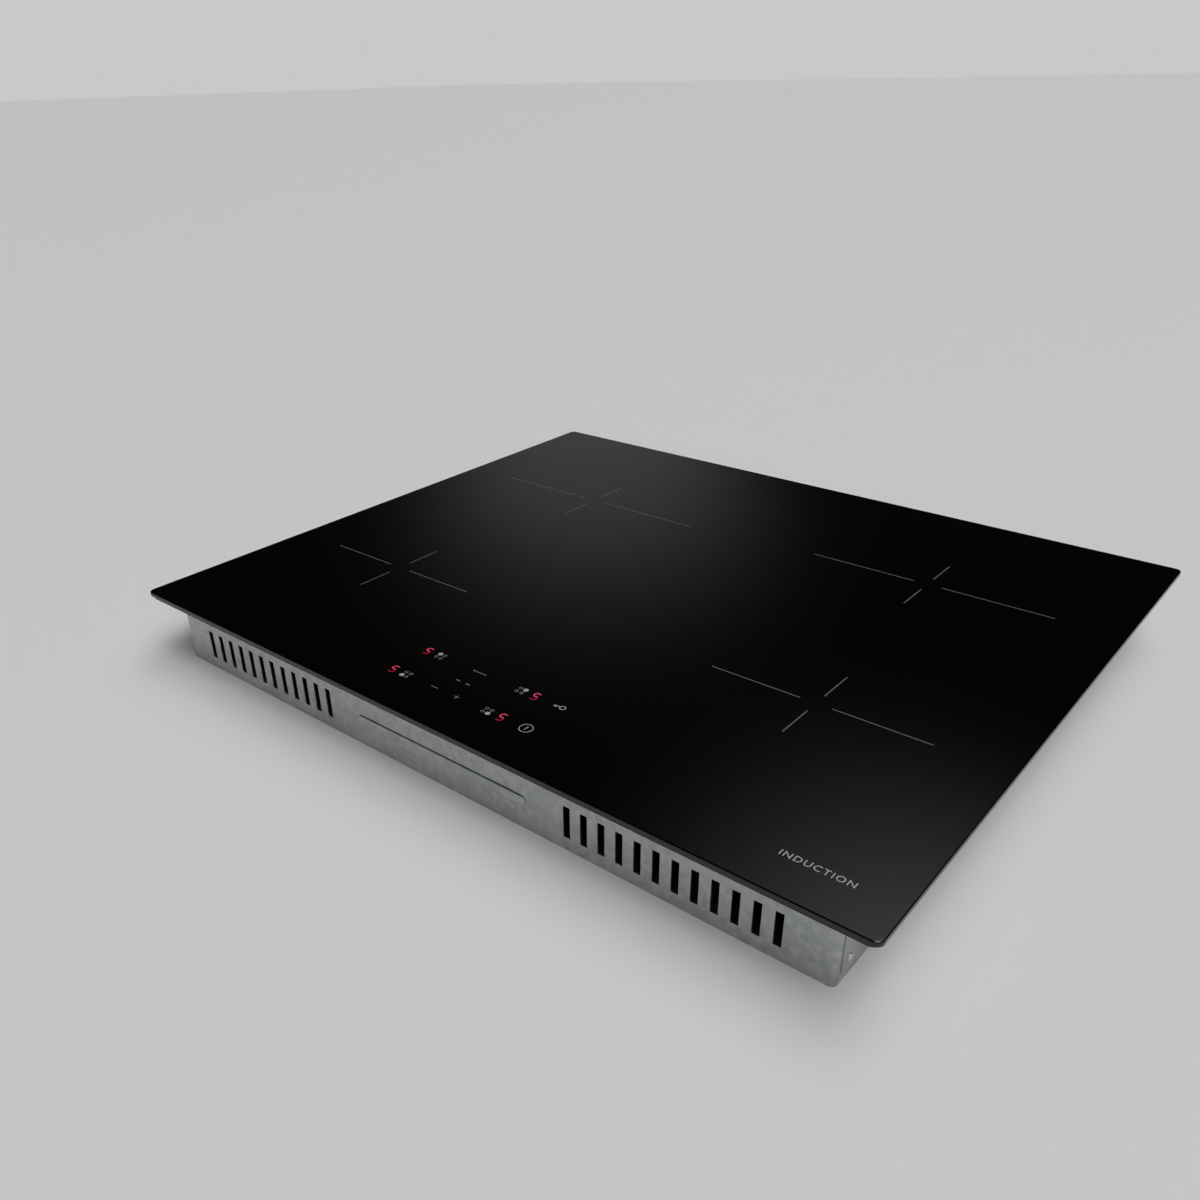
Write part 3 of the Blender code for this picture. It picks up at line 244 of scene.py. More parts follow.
def add_can(bm, radius, low, high, centre=(0.0, 0.0), steps=24, bevel=0.0, index=0, turn=None):
    """An upright cylinder with its rims rounded by bevel."""
    place = Matrix.Translation((centre[0], centre[1], (low + high) / 2))
    made = bmesh.ops.create_cone(
        bm, cap_ends=True, segments=steps, radius1=radius, radius2=radius, depth=high - low, matrix=place,
    )
    verts = made["verts"]
    if bevel:
        edges = {e for v in verts for e in v.link_edges}
        rims = [e for e in edges if abs(e.verts[0].co.z - e.verts[1].co.z) < WELD]
        rounded = bmesh.ops.bevel(
            bm, geom=rims, offset=bevel, segments=2, profile=0.5, affect="EDGES", material=-1,
        )
        verts = list({v for f in rounded["faces"] for v in f.verts} | {v for v in verts if v.is_valid})
    for face in {f for v in verts for f in v.link_faces}:
        face.material_index = index
    if turn:
        bmesh.ops.transform(bm, matrix=turn, verts=verts)
    return verts


def add_turned(bm, profile, steps=48, place=Matrix.Identity(4), index=0):
    """Spins a (radius, height) profile round Z. It is closed unless both of its ends are on the axis."""
    corners = [bm.verts.new((r, 0.0, z)) for r, z in profile]
    edges = [bm.edges.new(pair) for pair in zip(corners, corners[1:])]
    if profile[0][0] > 0:
        edges.append(bm.edges.new((corners[-1], corners[0])))
    before = set(bm.faces)
    bmesh.ops.spin(
        bm, geom=corners + edges, cent=(0, 0, 0), axis=(0, 0, 1), angle=2 * math.pi, steps=steps,
        use_merge=True, use_duplicate=False,
    )
    verts = list({v for f in bm.faces if f not in before for v in f.verts})
    bmesh.ops.remove_doubles(bm, verts=verts, dist=WELD)
    made = [f for f in bm.faces if f not in before]
    for face in made:
        face.material_index = index
    verts = list({v for f in made for v in f.verts})
    bmesh.ops.transform(bm, matrix=place, verts=verts)
    return verts


def add_outline(bm, points, low, high, index=0, turn=None):
    """Extrudes a flat outline from low to high."""
    corners = [bm.verts.new((x, y, low)) for x, y in points]
    edges = [bm.edges.new(pair) for pair in zip(corners, corners[1:] + corners[:1])]
    base = bmesh.ops.contextual_create(bm, geom=edges)["faces"]
    raised = bmesh.ops.extrude_face_region(bm, geom=base)["geom"]
    tops = [g for g in raised if isinstance(g, bmesh.types.BMVert)]
    bmesh.ops.translate(bm, verts=tops, vec=(0, 0, high - low))
    verts = corners + tops
    for face in {f for v in verts for f in v.link_faces}:
        face.material_index = index
    if turn:
        bmesh.ops.transform(bm, matrix=turn, verts=verts)
    return verts


def add_tube(bm, points, radius, sides=10, index=0):
    """Sweeps a circle along the points, with one extrusion for each stretch."""
    points = [Vector(point) for point in points]
    places = []
    for before, point, after in zip(points[:1] + points, points, points[1:] + points[-1:]):
        turn = (after - before).to_track_quat("Z", "X").to_matrix().to_4x4()
        places.append(Matrix.Translation(point) @ turn)
    ring = bmesh.ops.create_circle(
        bm, cap_ends=True, segments=sides, radius=radius, matrix=places[0],
    )["verts"]
    face = ring[0].link_faces[0]
    verts = list(ring)
    for last, place in zip(places, places[1:]):
        made = bmesh.ops.extrude_face_region(bm, geom=[face])["geom"]
        ring = [g for g in made if isinstance(g, bmesh.types.BMVert)]
        face = [g for g in made if isinstance(g, bmesh.types.BMFace)][0]
        bmesh.ops.transform(bm, matrix=place @ last.inverted(), verts=ring)
        verts += ring
    for face in {f for v in verts for f in v.link_faces}:
        face.material_index = index
    return verts


def add_coil(bm, centre, radius, wire, turns, steps, sides, widen=0.0, climb=0.0):
    """Winds round wire about Z. Each turn is wider by widen and higher by climb than the last."""
    start = Matrix.Translation((radius, 0, 0)) @ Matrix.Rotation(math.pi / 2, 4, "X")
    ring = bmesh.ops.create_circle(
        bm, cap_ends=False, segments=sides, radius=wire / 2, matrix=start,
    )["verts"]
    edges = list({e for v in ring for e in v.link_edges})
    before = set(bm.faces)
    bmesh.ops.spin(
        bm, geom=ring + edges, cent=(0, 0, 0), axis=(0, 0, 1), dvec=(widen / steps, 0, climb / steps),
        angle=2 * math.pi * turns, steps=round(turns * steps), use_merge=False, use_duplicate=False,
    )
    made = {f for f in bm.faces if f not in before}
    ends = [e for e in {e for f in made for e in f.edges} if e.is_boundary]
    bmesh.ops.holes_fill(bm, edges=ends)
    verts = list({v for f in bm.faces if f not in before for v in f.verts})
    bmesh.ops.translate(bm, verts=verts, vec=centre)


def carved(bm, cutter):
    """The bmesh with the cutter's shapes cut out of it by an exact Boolean."""
    pair = []
    for source in (bm, cutter):
        bmesh.ops.recalc_face_normals(source, faces=source.faces)
        mesh = bpy.data.meshes.new("carving")
        source.to_mesh(mesh)
        source.free()
        pair.append(bpy.data.objects.new("carving", mesh))
        bpy.context.scene.collection.objects.link(pair[-1])
    cut = pair[0].modifiers.new("cut", "BOOLEAN")
    cut.operation = "DIFFERENCE"
    cut.solver = "EXACT"
    cut.object = pair[1]
    bpy.context.view_layer.update()
    seen = pair[0].evaluated_get(bpy.context.evaluated_depsgraph_get())
    shape = bpy.data.meshes.new_from_object(seen)
    result = bmesh.new()
    result.from_mesh(shape)
    bpy.data.meshes.remove(shape)
    for obj in pair:
        mesh = obj.data
        bpy.data.objects.remove(obj)
        bpy.data.meshes.remove(mesh)
    bmesh.ops.remove_doubles(result, verts=result.verts, dist=WELD)
    return result


def eased(points, steps=4):
    """A smooth run through the points, as a Catmull-Rom curve."""
    points = [Vector(point) for point in points]
    run = [points[0]]
    for p0, p1, p2, p3 in zip(points[:1] + points, points, points[1:], points[2:] + points[-1:]):
        for step in range(1, steps + 1):
            t = step / steps
            run.append(0.5 * (
                2 * p1 + (p2 - p0) * t + (2 * p0 - 5 * p1 + 4 * p2 - p3) * t**2
                + (3 * p1 - p0 - 3 * p2 + p3) * t**3
            ))
    return run


def strip(points, thickness):
    """The outline of a bent strip that follows the points, half its thickness to each side."""
    near, far = [], []
    for before, point, after in zip(points[:1] + points, points, points[1:] + points[-1:]):
        along = (after - before).normalized()
        across = Vector((-along.y, along.x)) * thickness / 2
        near.append(point + across)
        far.append(point - across)
    return near + far[::-1]


def rounded(half_x, half_y, radius, steps=6):
    """The outline of a rectangle with round corners about the origin, anticlockwise."""
    points = []
    for quarter, (sx, sy) in enumerate(((1, 1), (-1, 1), (-1, -1), (1, -1))):
        for step in range(steps + 1):
            angle = math.pi / 2 * (quarter + step / steps)
            x = sx * (half_x - radius) + radius * math.cos(angle)
            y = sy * (half_y - radius) + radius * math.sin(angle)
            points.append((x, y))
    return points


def facing(point, normal):
    """Carries a shape built along +Z so that it points out of a wall at that point."""
    turn = Vector(normal).to_track_quat("Z", "X").to_matrix().to_4x4()
    return Matrix.Translation(point) @ turn


# ---------------------------------------------------------------- finishes
def add_node(tree, kind, values=None, links=None, **settings):
    """Adds a node with its settings, its sockets' values, and links from other nodes' outputs."""
    made = tree.nodes.new(kind)
    for name, value in settings.items():
        setattr(made, name, value)
    for socket, value in (values or {}).items():
        made.inputs[socket].default_value = value
    for socket, source in (links or {}).items():
        tree.links.new(source, made.inputs[socket])
    return made


def new_material(name, **sockets):
    """A material with a Principled BSDF, whose sockets take the given values."""
    material = bpy.data.materials.new(name)
    material.use_nodes = True
    shader = material.node_tree.nodes["Principled BSDF"]
    for socket, value in sockets.items():
        shader.inputs[socket.replace("_", " ")].default_value = value
    return material, material.node_tree, shader


def own_axes(tree):
    """Where a point lies in its object's own axes, in metres."""
    return add_node(tree, "ShaderNodeTexCoord").outputs["Object"]


def add_noise(tree, place, scale, detail):
    """Soft noise with that many patches to a metre."""
    values = {"Scale": scale, "Detail": detail}
    return add_node(tree, "ShaderNodeTexNoise", values, {"Vector": place}).outputs["Fac"]


def set_gloss(tree, shader, pattern, low, high, start=0.0, end=1.0):
    """Takes the roughness from low to high while the pattern goes from start to end."""
    gloss = add_node(
        tree, "ShaderNodeMapRange", {"From Min": start, "From Max": end, "To Min": low, "To Max": high},
        {"Value": pattern},
    )
    tree.links.new(gloss.outputs[0], shader.inputs["Roughness"])


def set_tone(tree, shader, pattern, *stops):
    """Takes the base colour from one (position, colour) stop to the other as the pattern rises."""
    tone = add_node(tree, "ShaderNodeValToRGB", links={"Fac": pattern})
    for element, (position, colour) in zip(tone.color_ramp.elements, stops):
        element.position = position
        element.color = linear(colour)
    tree.links.new(tone.outputs[0], shader.inputs["Base Color"])
    return tone.outputs[0]


def set_bump(tree, shader, pattern, strength, depth):
    """Makes the pattern stand out of the surface by depth."""
    bump = add_node(tree, "ShaderNodeBump", {"Strength": strength, "Distance": depth}, {"Height": pattern})
    tree.links.new(bump.outputs[0], shader.inputs["Normal"])


def black_glass_ceramic():
    """Rolled and polished lithium glass-ceramic, dyed black: near-perfect gloss, faint wiping haze."""
    colour = bpy.context.scene.cooktop_glass.colour
    material, tree, shader = new_material("black_glass_ceramic", Base_Color=linear(colour), IOR=1.52)
    place = own_axes(tree)
    # Wiping haze in patches some 60 mm across, stretched along the wiping direction.
    swirl = add_node(
        tree, "ShaderNodeMapping", {"Scale": (9.0, 22.0, 16.0), "Rotation": (0, 0, 0.5)}, {"Vector": place},
    )
    haze = add_node(
        tree, "ShaderNodeTexNoise", {"Scale": 1.0, "Detail": 5.0, "Roughness": 0.6},
        {"Vector": swirl.outputs[0]},
    )
    set_gloss(tree, shader, haze.outputs["Fac"], 0.028, 0.075, 0.35, 0.75)
    # The rolled surface's long, shallow waves, some 35 mm apart.
    set_bump(tree, shader, add_noise(tree, place, 28.0, 1.0), 0.02, 0.2 * MM)
    return material


def fired_print(name, colour):
    """Ceramic enamel screen-printed and fired on the glass: satin, with the mesh's fine grain."""
    material, tree, shader = new_material(name, Base_Color=linear(colour), Roughness=0.42, IOR=1.5)
    # The screen's threads are 0.1 mm apart, drawn at 0.4 mm so that they show.
    set_bump(tree, shader, add_noise(tree, own_axes(tree), 2500.0, 2.0), 0.25, 0.02 * MM)
    return material


def lit_segment(name, colour, glow):
    """An LED segment seen through the dyed glass: it gives off light, and hardly returns any."""
    material, _, _ = new_material(
        name, Base_Color=linear("#12060a"), Roughness=0.2, IOR=1.5, Emission_Color=linear(colour),
        Emission_Strength=glow,
    )
    return material


def closed_cell_foam():
    """EPDM foam tape, black and dull, with a fine cell texture."""
    material, tree, shader = new_material("epdm_foam_tape", Base_Color=linear("#1b1b1c"), Roughness=0.92)
    # Cells 0.6 mm across.
    cells = add_node(tree, "ShaderNodeTexVoronoi", {"Scale": 1600.0}, {"Vector": own_axes(tree)})
    set_bump(tree, shader, cells.outputs["Distance"], 0.5, 0.15 * MM)
    return material


def galvanised_sheet():
    """Hot-dip galvanised steel: soft grey with zinc flowers some 4 mm across, each of its own gloss."""
    material, tree, shader = new_material("galvanised_steel_sheet", Metallic=1.0)
    place = own_axes(tree)
    flowers = add_node(tree, "ShaderNodeTexVoronoi", {"Scale": 240.0}, {"Vector": place})
    shade = add_node(tree, "ShaderNodeRGBToBW", links={"Color": flowers.outputs["Color"]}).outputs[0]
    set_tone(tree, shader, shade, (0.2, "#a9acae"), (0.8, "#babdbf"))
    drift = add_noise(tree, place, 14.0, 4.0)
    mixed = add_node(tree, "ShaderNodeMath", links={0: shade, 1: drift}, operation="ADD")
    set_gloss(tree, shader, mixed.outputs[0], 0.36, 0.48, 0.5, 1.5)
    set_bump(tree, shader, flowers.outputs["Distance"], 0.12, 0.05 * MM)
    return material


def brushed_metal(name, colour, roughness, grain, stretch=(1.0, 1.0, 1.0)):
    """Metal with fine drawn or rolled lines. grain is the number of lines per metre."""
    material, tree, shader = new_material(name, Base_Color=linear(colour), Metallic=1.0)
    place = add_node(tree, "ShaderNodeMapping", {"Scale": stretch}, {"Vector": own_axes(tree)})
    lines = add_noise(tree, place.outputs[0], grain, 3.0)
    set_gloss(tree, shader, lines, roughness * 0.75, roughness * 1.3, 0.3, 0.7)
    set_bump(tree, shader, lines, 0.15, 0.03 * MM)
    return material


def moulded_plastic(name, colour, roughness, grain_mm=0.5, strength=0.25):
    """A moulding with a fine eroded texture, its grain grain_mm across."""
    material, tree, shader = new_material(name, Base_Color=linear(colour), IOR=1.5)
    place = own_axes(tree)
    grain = add_noise(tree, place, 1000.0 / grain_mm, 2.0)
    patches = add_noise(tree, place, 25.0, 3.0)
    set_gloss(tree, shader, patches, roughness * 0.9, roughness * 1.12, 0.3, 0.7)
    set_bump(tree, shader, grain, strength, 0.04 * MM)
    return material


def litz_wire():
    """Enamelled litz: a few hundred hair-thin copper strands twisted in a bundle, glossy and coppery."""
    material, tree, shader = new_material("litz_copper_bundle", Metallic=1.0, Roughness=0.34)
    place = own_axes(tree)
    set_tone(tree, shader, add_noise(tree, place, 60.0, 3.0), (0.35, "#9c5425"), (0.65, "#c9793c"))
    # Strands of 0.2 mm, drawn at 0.5 mm so that they show.
    strands = add_node(tree, "ShaderNodeTexVoronoi", {"Scale": 2000.0}, {"Vector": place})
    set_bump(tree, shader, strands.outputs["Distance"], 0.5, 0.12 * MM)
    return material


def sintered_ferrite():
    """Pressed and sintered manganese-zinc ferrite: dark grey, dull, slightly sparkling with grain."""
    material, tree, shader = new_material("sintered_ferrite", IOR=1.8)
    grain = add_noise(tree, own_axes(tree), 1800.0, 4.0)
    set_tone(tree, shader, grain, (0.3, "#2a2a2c"), (0.7, "#4a4b4e"))
    set_gloss(tree, shader, grain, 0.45, 0.7)
    set_bump(tree, shader, grain, 0.3, 0.05 * MM)
    return material


def mica_sheet():
    """Bonded mica paper: silvery buff with overlapping flakes some 5 mm across."""
    material, tree, shader = new_material("bonded_mica_paper", IOR=1.58)
    flakes = add_node(tree, "ShaderNodeTexVoronoi", {"Scale": 200.0}, {"Vector": own_axes(tree)})
    shade = add_node(tree, "ShaderNodeRGBToBW", links={"Color": flakes.outputs["Color"]}).outputs[0]
    set_tone(tree, shader, shade, (0.2, "#9b8f78"), (0.8, "#c2b9a3"))
    set_gloss(tree, shader, shade, 0.3, 0.6)
    set_bump(tree, shader, shade, 0.3, 0.06 * MM)
    return material


def solder_mask():
    """Glass-epoxy laminate under green solder mask, with the copper tracks' raised blocks below it."""
    material, tree, shader = new_material("green_solder_mask", Roughness=0.32, IOR=1.5)
    # Track fields 2 to 8 mm wide, with square corners.
    tracks = add_node(
        tree, "ShaderNodeTexVoronoi", {"Scale": 170.0}, {"Vector": own_axes(tree)}, distance="CHEBYCHEV",
    )
    shade = add_node(tree, "ShaderNodeRGBToBW", links={"Color": tracks.outputs["Color"]}).outputs[0]
    tone = set_tone(tree, shader, shade, (0.48, "#174d2c"), (0.52, "#23693c"))
    set_bump(tree, shader, tone, 0.4, 0.07 * MM)
    return material


def ribbed_ribbon():
    """Flat PVC ribbon with rounded ribs along its wires, 2.54 mm apart across X."""
    material, tree, shader = new_material(
        "grey_pvc_ribbon", Base_Color=linear("#8d9093"), Roughness=0.45, IOR=1.52,
    )
    # The wave texture has 20 waves in 2 pi units at a scale of one.
    rib = 2.54 * MM
    ribs = add_node(
        tree, "ShaderNodeTexWave", {"Scale": 2 * math.pi / 20 / rib}, {"Vector": own_axes(tree)},
        wave_type="BANDS", bands_direction="X",
    )
    set_bump(tree, shader, ribs.outputs["Fac"], 0.8, 0.3 * MM)
    return material


def studio_floor():
    """Matt laminate board, pale and even."""
    colour = bpy.context.scene.cooktop_stage.floor_colour
    material, tree, shader = new_material("matt_studio_board", Base_Color=linear(colour), Roughness=0.75)
    set_bump(tree, shader, add_noise(tree, own_axes(tree), 900.0, 2.0), 0.03, 0.1 * MM)
    return material


# Metals by finish: the material's name, colour, roughness, lines per metre, and how its lines are stretched.
METALS = {
    "spring": ("spring_stainless_strip", "#b9b4aa", 0.26, 300.0, (1.0, 12.0, 1.0)),
    "plated": ("zinc_plated_steel", "#c3c6cb", 0.22, 900.0),
    "brass": ("nickel_plated_brass", "#cfc9b4", 0.25, 1200.0),
    "mill": ("mill_finish_aluminium", "#cdd0d2", 0.34, 500.0, (8.0, 1.0, 1.0)),
    "extruded": ("extruded_aluminium", "#c7cacc", 0.38, 700.0, (1.0, 0.05, 1.0)),
    "winding": ("enamelled_copper", "#b5672f", 0.25, 1200.0),
}

# Mouldings by finish: the material's name, colour, roughness, grain in millimetres and the grain's strength.
MOULDINGS = {
    "core": ("painted_iron_powder_core", "#5f8a4e", 0.6, 0.8),
    "carrier": ("glass_filled_carrier_pbt", "#2c2c2e", 0.55, 0.9, 0.35),
    "silicone": ("ceramic_filled_silicone", "#d9d6cc", 0.62, 0.6),
    "varnish": ("varnished_laminations", "#5e2b1c", 0.35, 0.5),
    "black": ("black_pbt_moulding", "#1c1c1d", 0.5),
    "white": ("white_polyamide_moulding", "#dedbd2", 0.42),
    "nylon": ("natural_nylon_connector", "#e4dfcf", 0.4),
    "epoxy": ("black_moulding_epoxy", "#18181a", 0.6, 0.3),
    "sleeve": ("printed_pet_sleeve", "#20242e", 0.28, 0.9, 0.1),
    "film": ("grey_capacitor_case", "#6c7278", 0.42),
    "film_blue": ("blue_capacitor_case", "#2c5b92", 0.38),
    "relay": ("relay_cover_pbt", "#2b2b2d", 0.35),
    "rubber": ("epdm_rubber", "#151516", 0.75, 0.6),
    "plate_film": ("silver_polyester_film", "#b4b7b9", 0.34, 0.4, 0.1),
    "plate_ink": ("black_label_ink", "#1a1a1b", 0.5, 0.4, 0.1),
    "wire_brown": ("brown_pvc_insulation", "#5a3420", 0.38, 0.7, 0.12),
    "wire_blue": ("blue_pvc_insulation", "#27599b", 0.38, 0.7, 0.12),
    "wire_grey": ("grey_pvc_insulation", "#86898c", 0.38, 0.7, 0.12),
    "wire_black": ("black_pvc_insulation", "#1b1b1c", 0.38, 0.7, 0.12),
    "wire_green": ("green_pvc_insulation", "#3f8f3a", 0.38, 0.7, 0.12),
}


def display_segment(name, colour):
    """A lit segment with the display's own glow. colour names one of the display's settings."""
    settings = bpy.context.scene.cooktop_display
    return lit_segment(name, getattr(settings, colour), settings.glow)


# What makes each of the other finishes.
MAKERS = {
    "glass": black_glass_ceramic,
    "zone_print": lambda: fired_print("grey_fired_enamel", bpy.context.scene.cooktop_print.zone_colour),
    "setter_print": lambda: fired_print("mid_grey_fired_enamel", "#7a7a7a"),
    "key_print": lambda: fired_print("pale_fired_enamel", bpy.context.scene.cooktop_print.key_colour),
    # The upper segments' paler pink glow is a painted highlight; the lower segments keep the plain LED red.
    "lit": lambda: display_segment("red_led_segment_painted_highlight", "painted_highlight_colour"),
    "lit_low": lambda: display_segment("red_led_lower_segment", "low_colour"),
    "timer_lit": lambda: lit_segment("dimmed_led_segment", "#7a5058", 1.0),
    "foam": closed_cell_foam,
    "zinc": galvanised_sheet,
    "tin": lambda: brushed_metal("tinned_copper", bpy.context.scene.cooktop_inside.tin_colour, 0.3, 1500.0),
    "litz": litz_wire,
    "ferrite": sintered_ferrite,
    "mica": mica_sheet,
    "mask": solder_mask,
    "ribbon": ribbed_ribbon,
}

MADE = {}

# The frame's own pieces that keep their shape, by finish.
DRESSED = {
    "foam": "perimeter_seal",
    "zinc": "bottom_case front_rail rear_rail left_rail right_rail",
    "carrier": " ".join(f"coil_carrier_{zone}" for zone in ZONES),
    "ferrite": " ".join(f"ferrite_bars_{zone}" for zone in ZONES),
    "silicone": " ".join(f"zone_sensor_{zone}" for zone in ZONES),
    "mica": "insulation_sheet_left insulation_sheet_right",
    "mill": "coil_plate_left coil_plate_right",
    "extruded": "heatsink_left heatsink_right",
    "varnish": "blower_motor_left blower_motor_right",
    "black": "blower_housing_left blower_housing_right terminal_box touch_board_holder",
    "white": "board_tray_left board_tray_right display_light_box",
    "nylon": "terminal_block",
    "ribbon": "ribbon_cable",
}


def finish(key):
    """The finish of that name, made the first time that it is asked for."""
    if key not in MADE:
        if key in METALS:
            MADE[key] = brushed_metal(*METALS[key])
        elif key in MOULDINGS:
            MADE[key] = moulded_plastic(*MOULDINGS[key])
        else:
            MADE[key] = MAKERS[key]()
    return MADE[key]


# ---------------------------------------------------------------- glass
class COOKTOP_OT_glass(bpy.types.Operator):
    """Builds the glass-ceramic panel with round corners and a ground edge"""

    bl_idname = "cooktop.glass"
    bl_label = "Glass panel"

    def execute(self, context):
        settings = context.scene.cooktop_glass
        bm = bmesh.new()
        extent = size("glass_panel")
        place = Matrix.Translation(middle("glass_panel")) @ Matrix.Diagonal((*extent, 1.0))
        bmesh.ops.create_cube(bm, size=1.0, matrix=place)
        uprights = [e for e in bm.edges if abs(e.verts[0].co.z - e.verts[1].co.z) > extent.z / 2]
        bmesh.ops.bevel(
            bm, geom=uprights, offset=settings.corner, segments=12, profile=0.5, affect="EDGES", material=-1,
        )
        rims = [e for e in bm.edges if abs(e.verts[0].co.z - e.verts[1].co.z) < extent.z / 2]
        bmesh.ops.bevel(
            bm, geom=rims, offset=settings.edge, segments=5, profile=0.5, affect="EDGES", material=-1,
        )
        finished("ceramic_glass_panel", bm, "glass", replaces=["glass_panel"])
        return {"FINISHED"}


# ---------------------------------------------------------------- printed marks
SUNK = 0.02 * MM  # how far a print reaches into the glass, so that no light shows under it


def add_print(bm, points, turn, index=0):
    """A flat printed shape that stands on the glass."""
    add_outline(bm, points, -SUNK, bpy.context.scene.cooktop_print.height, index, turn)


def bar(x0, y0, x1, y1):
    """The outline of a rectangle, from one corner to the other."""
    return [(x0, y0), (x1, y0), (x1, y1), (x0, y1)]


def on_glass(x, y):
    """Carries a shape drawn round the origin to that place on the glass, in metres from its middle."""
    return Matrix.Translation((x, y, TOP))


# Reach of each cross along X from its zone's middle: left arm's end, right arm's end.
CROSS_REACH = {
    "front_left": (-0.0733, 0.0740),
    "rear_left": (-0.1027, 0.1047),
    "rear_right": (-0.0937, 0.0925),
    "front_right": (-0.0753, 0.0744),
}


class COOKTOP_OT_zone_marks(bpy.types.Operator):
    """Prints a cross with an open middle on each cooking zone"""

    bl_idname = "cooktop.zone_marks"
    bl_label = "Zone crosses"

    def execute(self, context):
        settings = context.scene.cooktop_print
        half, gap, tall = settings.line / 2, settings.gap, settings.arm_side / 2
        for zone in ZONES:
            centre = middle(f"zone_sensor_{zone}")
            left, right = CROSS_REACH[zone]
            bm = bmesh.new()
            for outline in (
                bar(left, -half, -gap, half), bar(gap, -half, right, half),
                bar(-half, -tall, half, -gap), bar(-half, gap, half, tall),
            ):
                add_print(bm, outline, on_glass(centre.x, centre.y))
            finished(f"zone_cross_{zone}", bm, "zone_print", smooth=0)
        return {"FINISHED"}


# ---------------------------------------------------------------- controls
PANEL_X, PANEL_Y = -0.0104, 0.0504 + GLASS_LOW[1]
ROW = 0.0155  # the two rows of keys, in front of and behind the panel's middle
DIGIT_X = 0.0483
KEY_X = 0.0364
SETTER_X = 0.0099
LOCK_X = 0.0682
TIMER_X = 0.0043

# Which of a digit's segments are lit: top, upper left, upper right, middle, lower left, lower right, bottom
SEGMENTS = {"5": "1101011", "-": "0001000"}


def add_digit(bm, value, x, y):
    """A seven-segment digit. Its upper segments take the first finish, whose paler pink glow is a painted
    highlight, and its lower ones the second.
    """
    settings = bpy.context.scene.cooktop_display
    wide, tall, line = settings.digit_width / 2, settings.digit_height / 2, settings.segment / 2
    gap = 0.12 * MM
    across = [
        (-wide + line + gap, -line), (wide - line - gap, -line), (wide - gap, 0), (wide - line - gap, line),
        (-wide + line + gap, line), (-wide + gap, 0),
    ]
    upright = [
        (-line, line + gap), (0, gap), (line, line + gap), (line, tall - line - gap), (0, tall - gap),
        (-line, tall - line - gap),
    ]
    places = [
        (across, 0, tall), (upright, -wide, 0), (upright, wide, 0), (across, 0, 0),
        (upright, -wide, -tall), (upright, wide, -tall), (across, 0, -tall),
    ]
    for order, (lit, (shape, right, up)) in enumerate(zip(SEGMENTS[value], places)):
        if lit == "1":
            outline = [(px + right, py + up) for px, py in shape]
            # The top four segments take the finish with the painted highlight.
            add_print(bm, outline, on_glass(x, y), index=0 if order < 4 else 1)


def add_ring(bm, radius, width, place):
    """A printed ring."""
    half, height = width / 2, bpy.context.scene.cooktop_print.height
    bore, rim = radius - half, radius + half
    profile = [(bore, -SUNK), (rim, -SUNK), (rim, height), (bore, height)]
    add_turned(bm, profile, 32, place)


def add_dot(bm, radius, place):
    """A printed disc."""
    height = bpy.context.scene.cooktop_print.height
    add_turned(bm, [(0, -SUNK), (radius, -SUNK), (radius, height), (0, height)], 24, place)


def add_zone_key(bm, x, y, active):
    """Four marks for the four zones: a disc for this key's own zone, and thin rings for the others."""
    pitch = 2.1 * MM
    for corner, (sx, sy) in enumerate(((-1, -1), (-1, 1), (1, 1), (1, -1))):
        place = on_glass(x + sx * pitch, y + sy * pitch)
        if corner == active:
            add_dot(bm, 1.75 * MM, place)
        else:
            add_ring(bm, 1.15 * MM, 0.22 * MM, place)


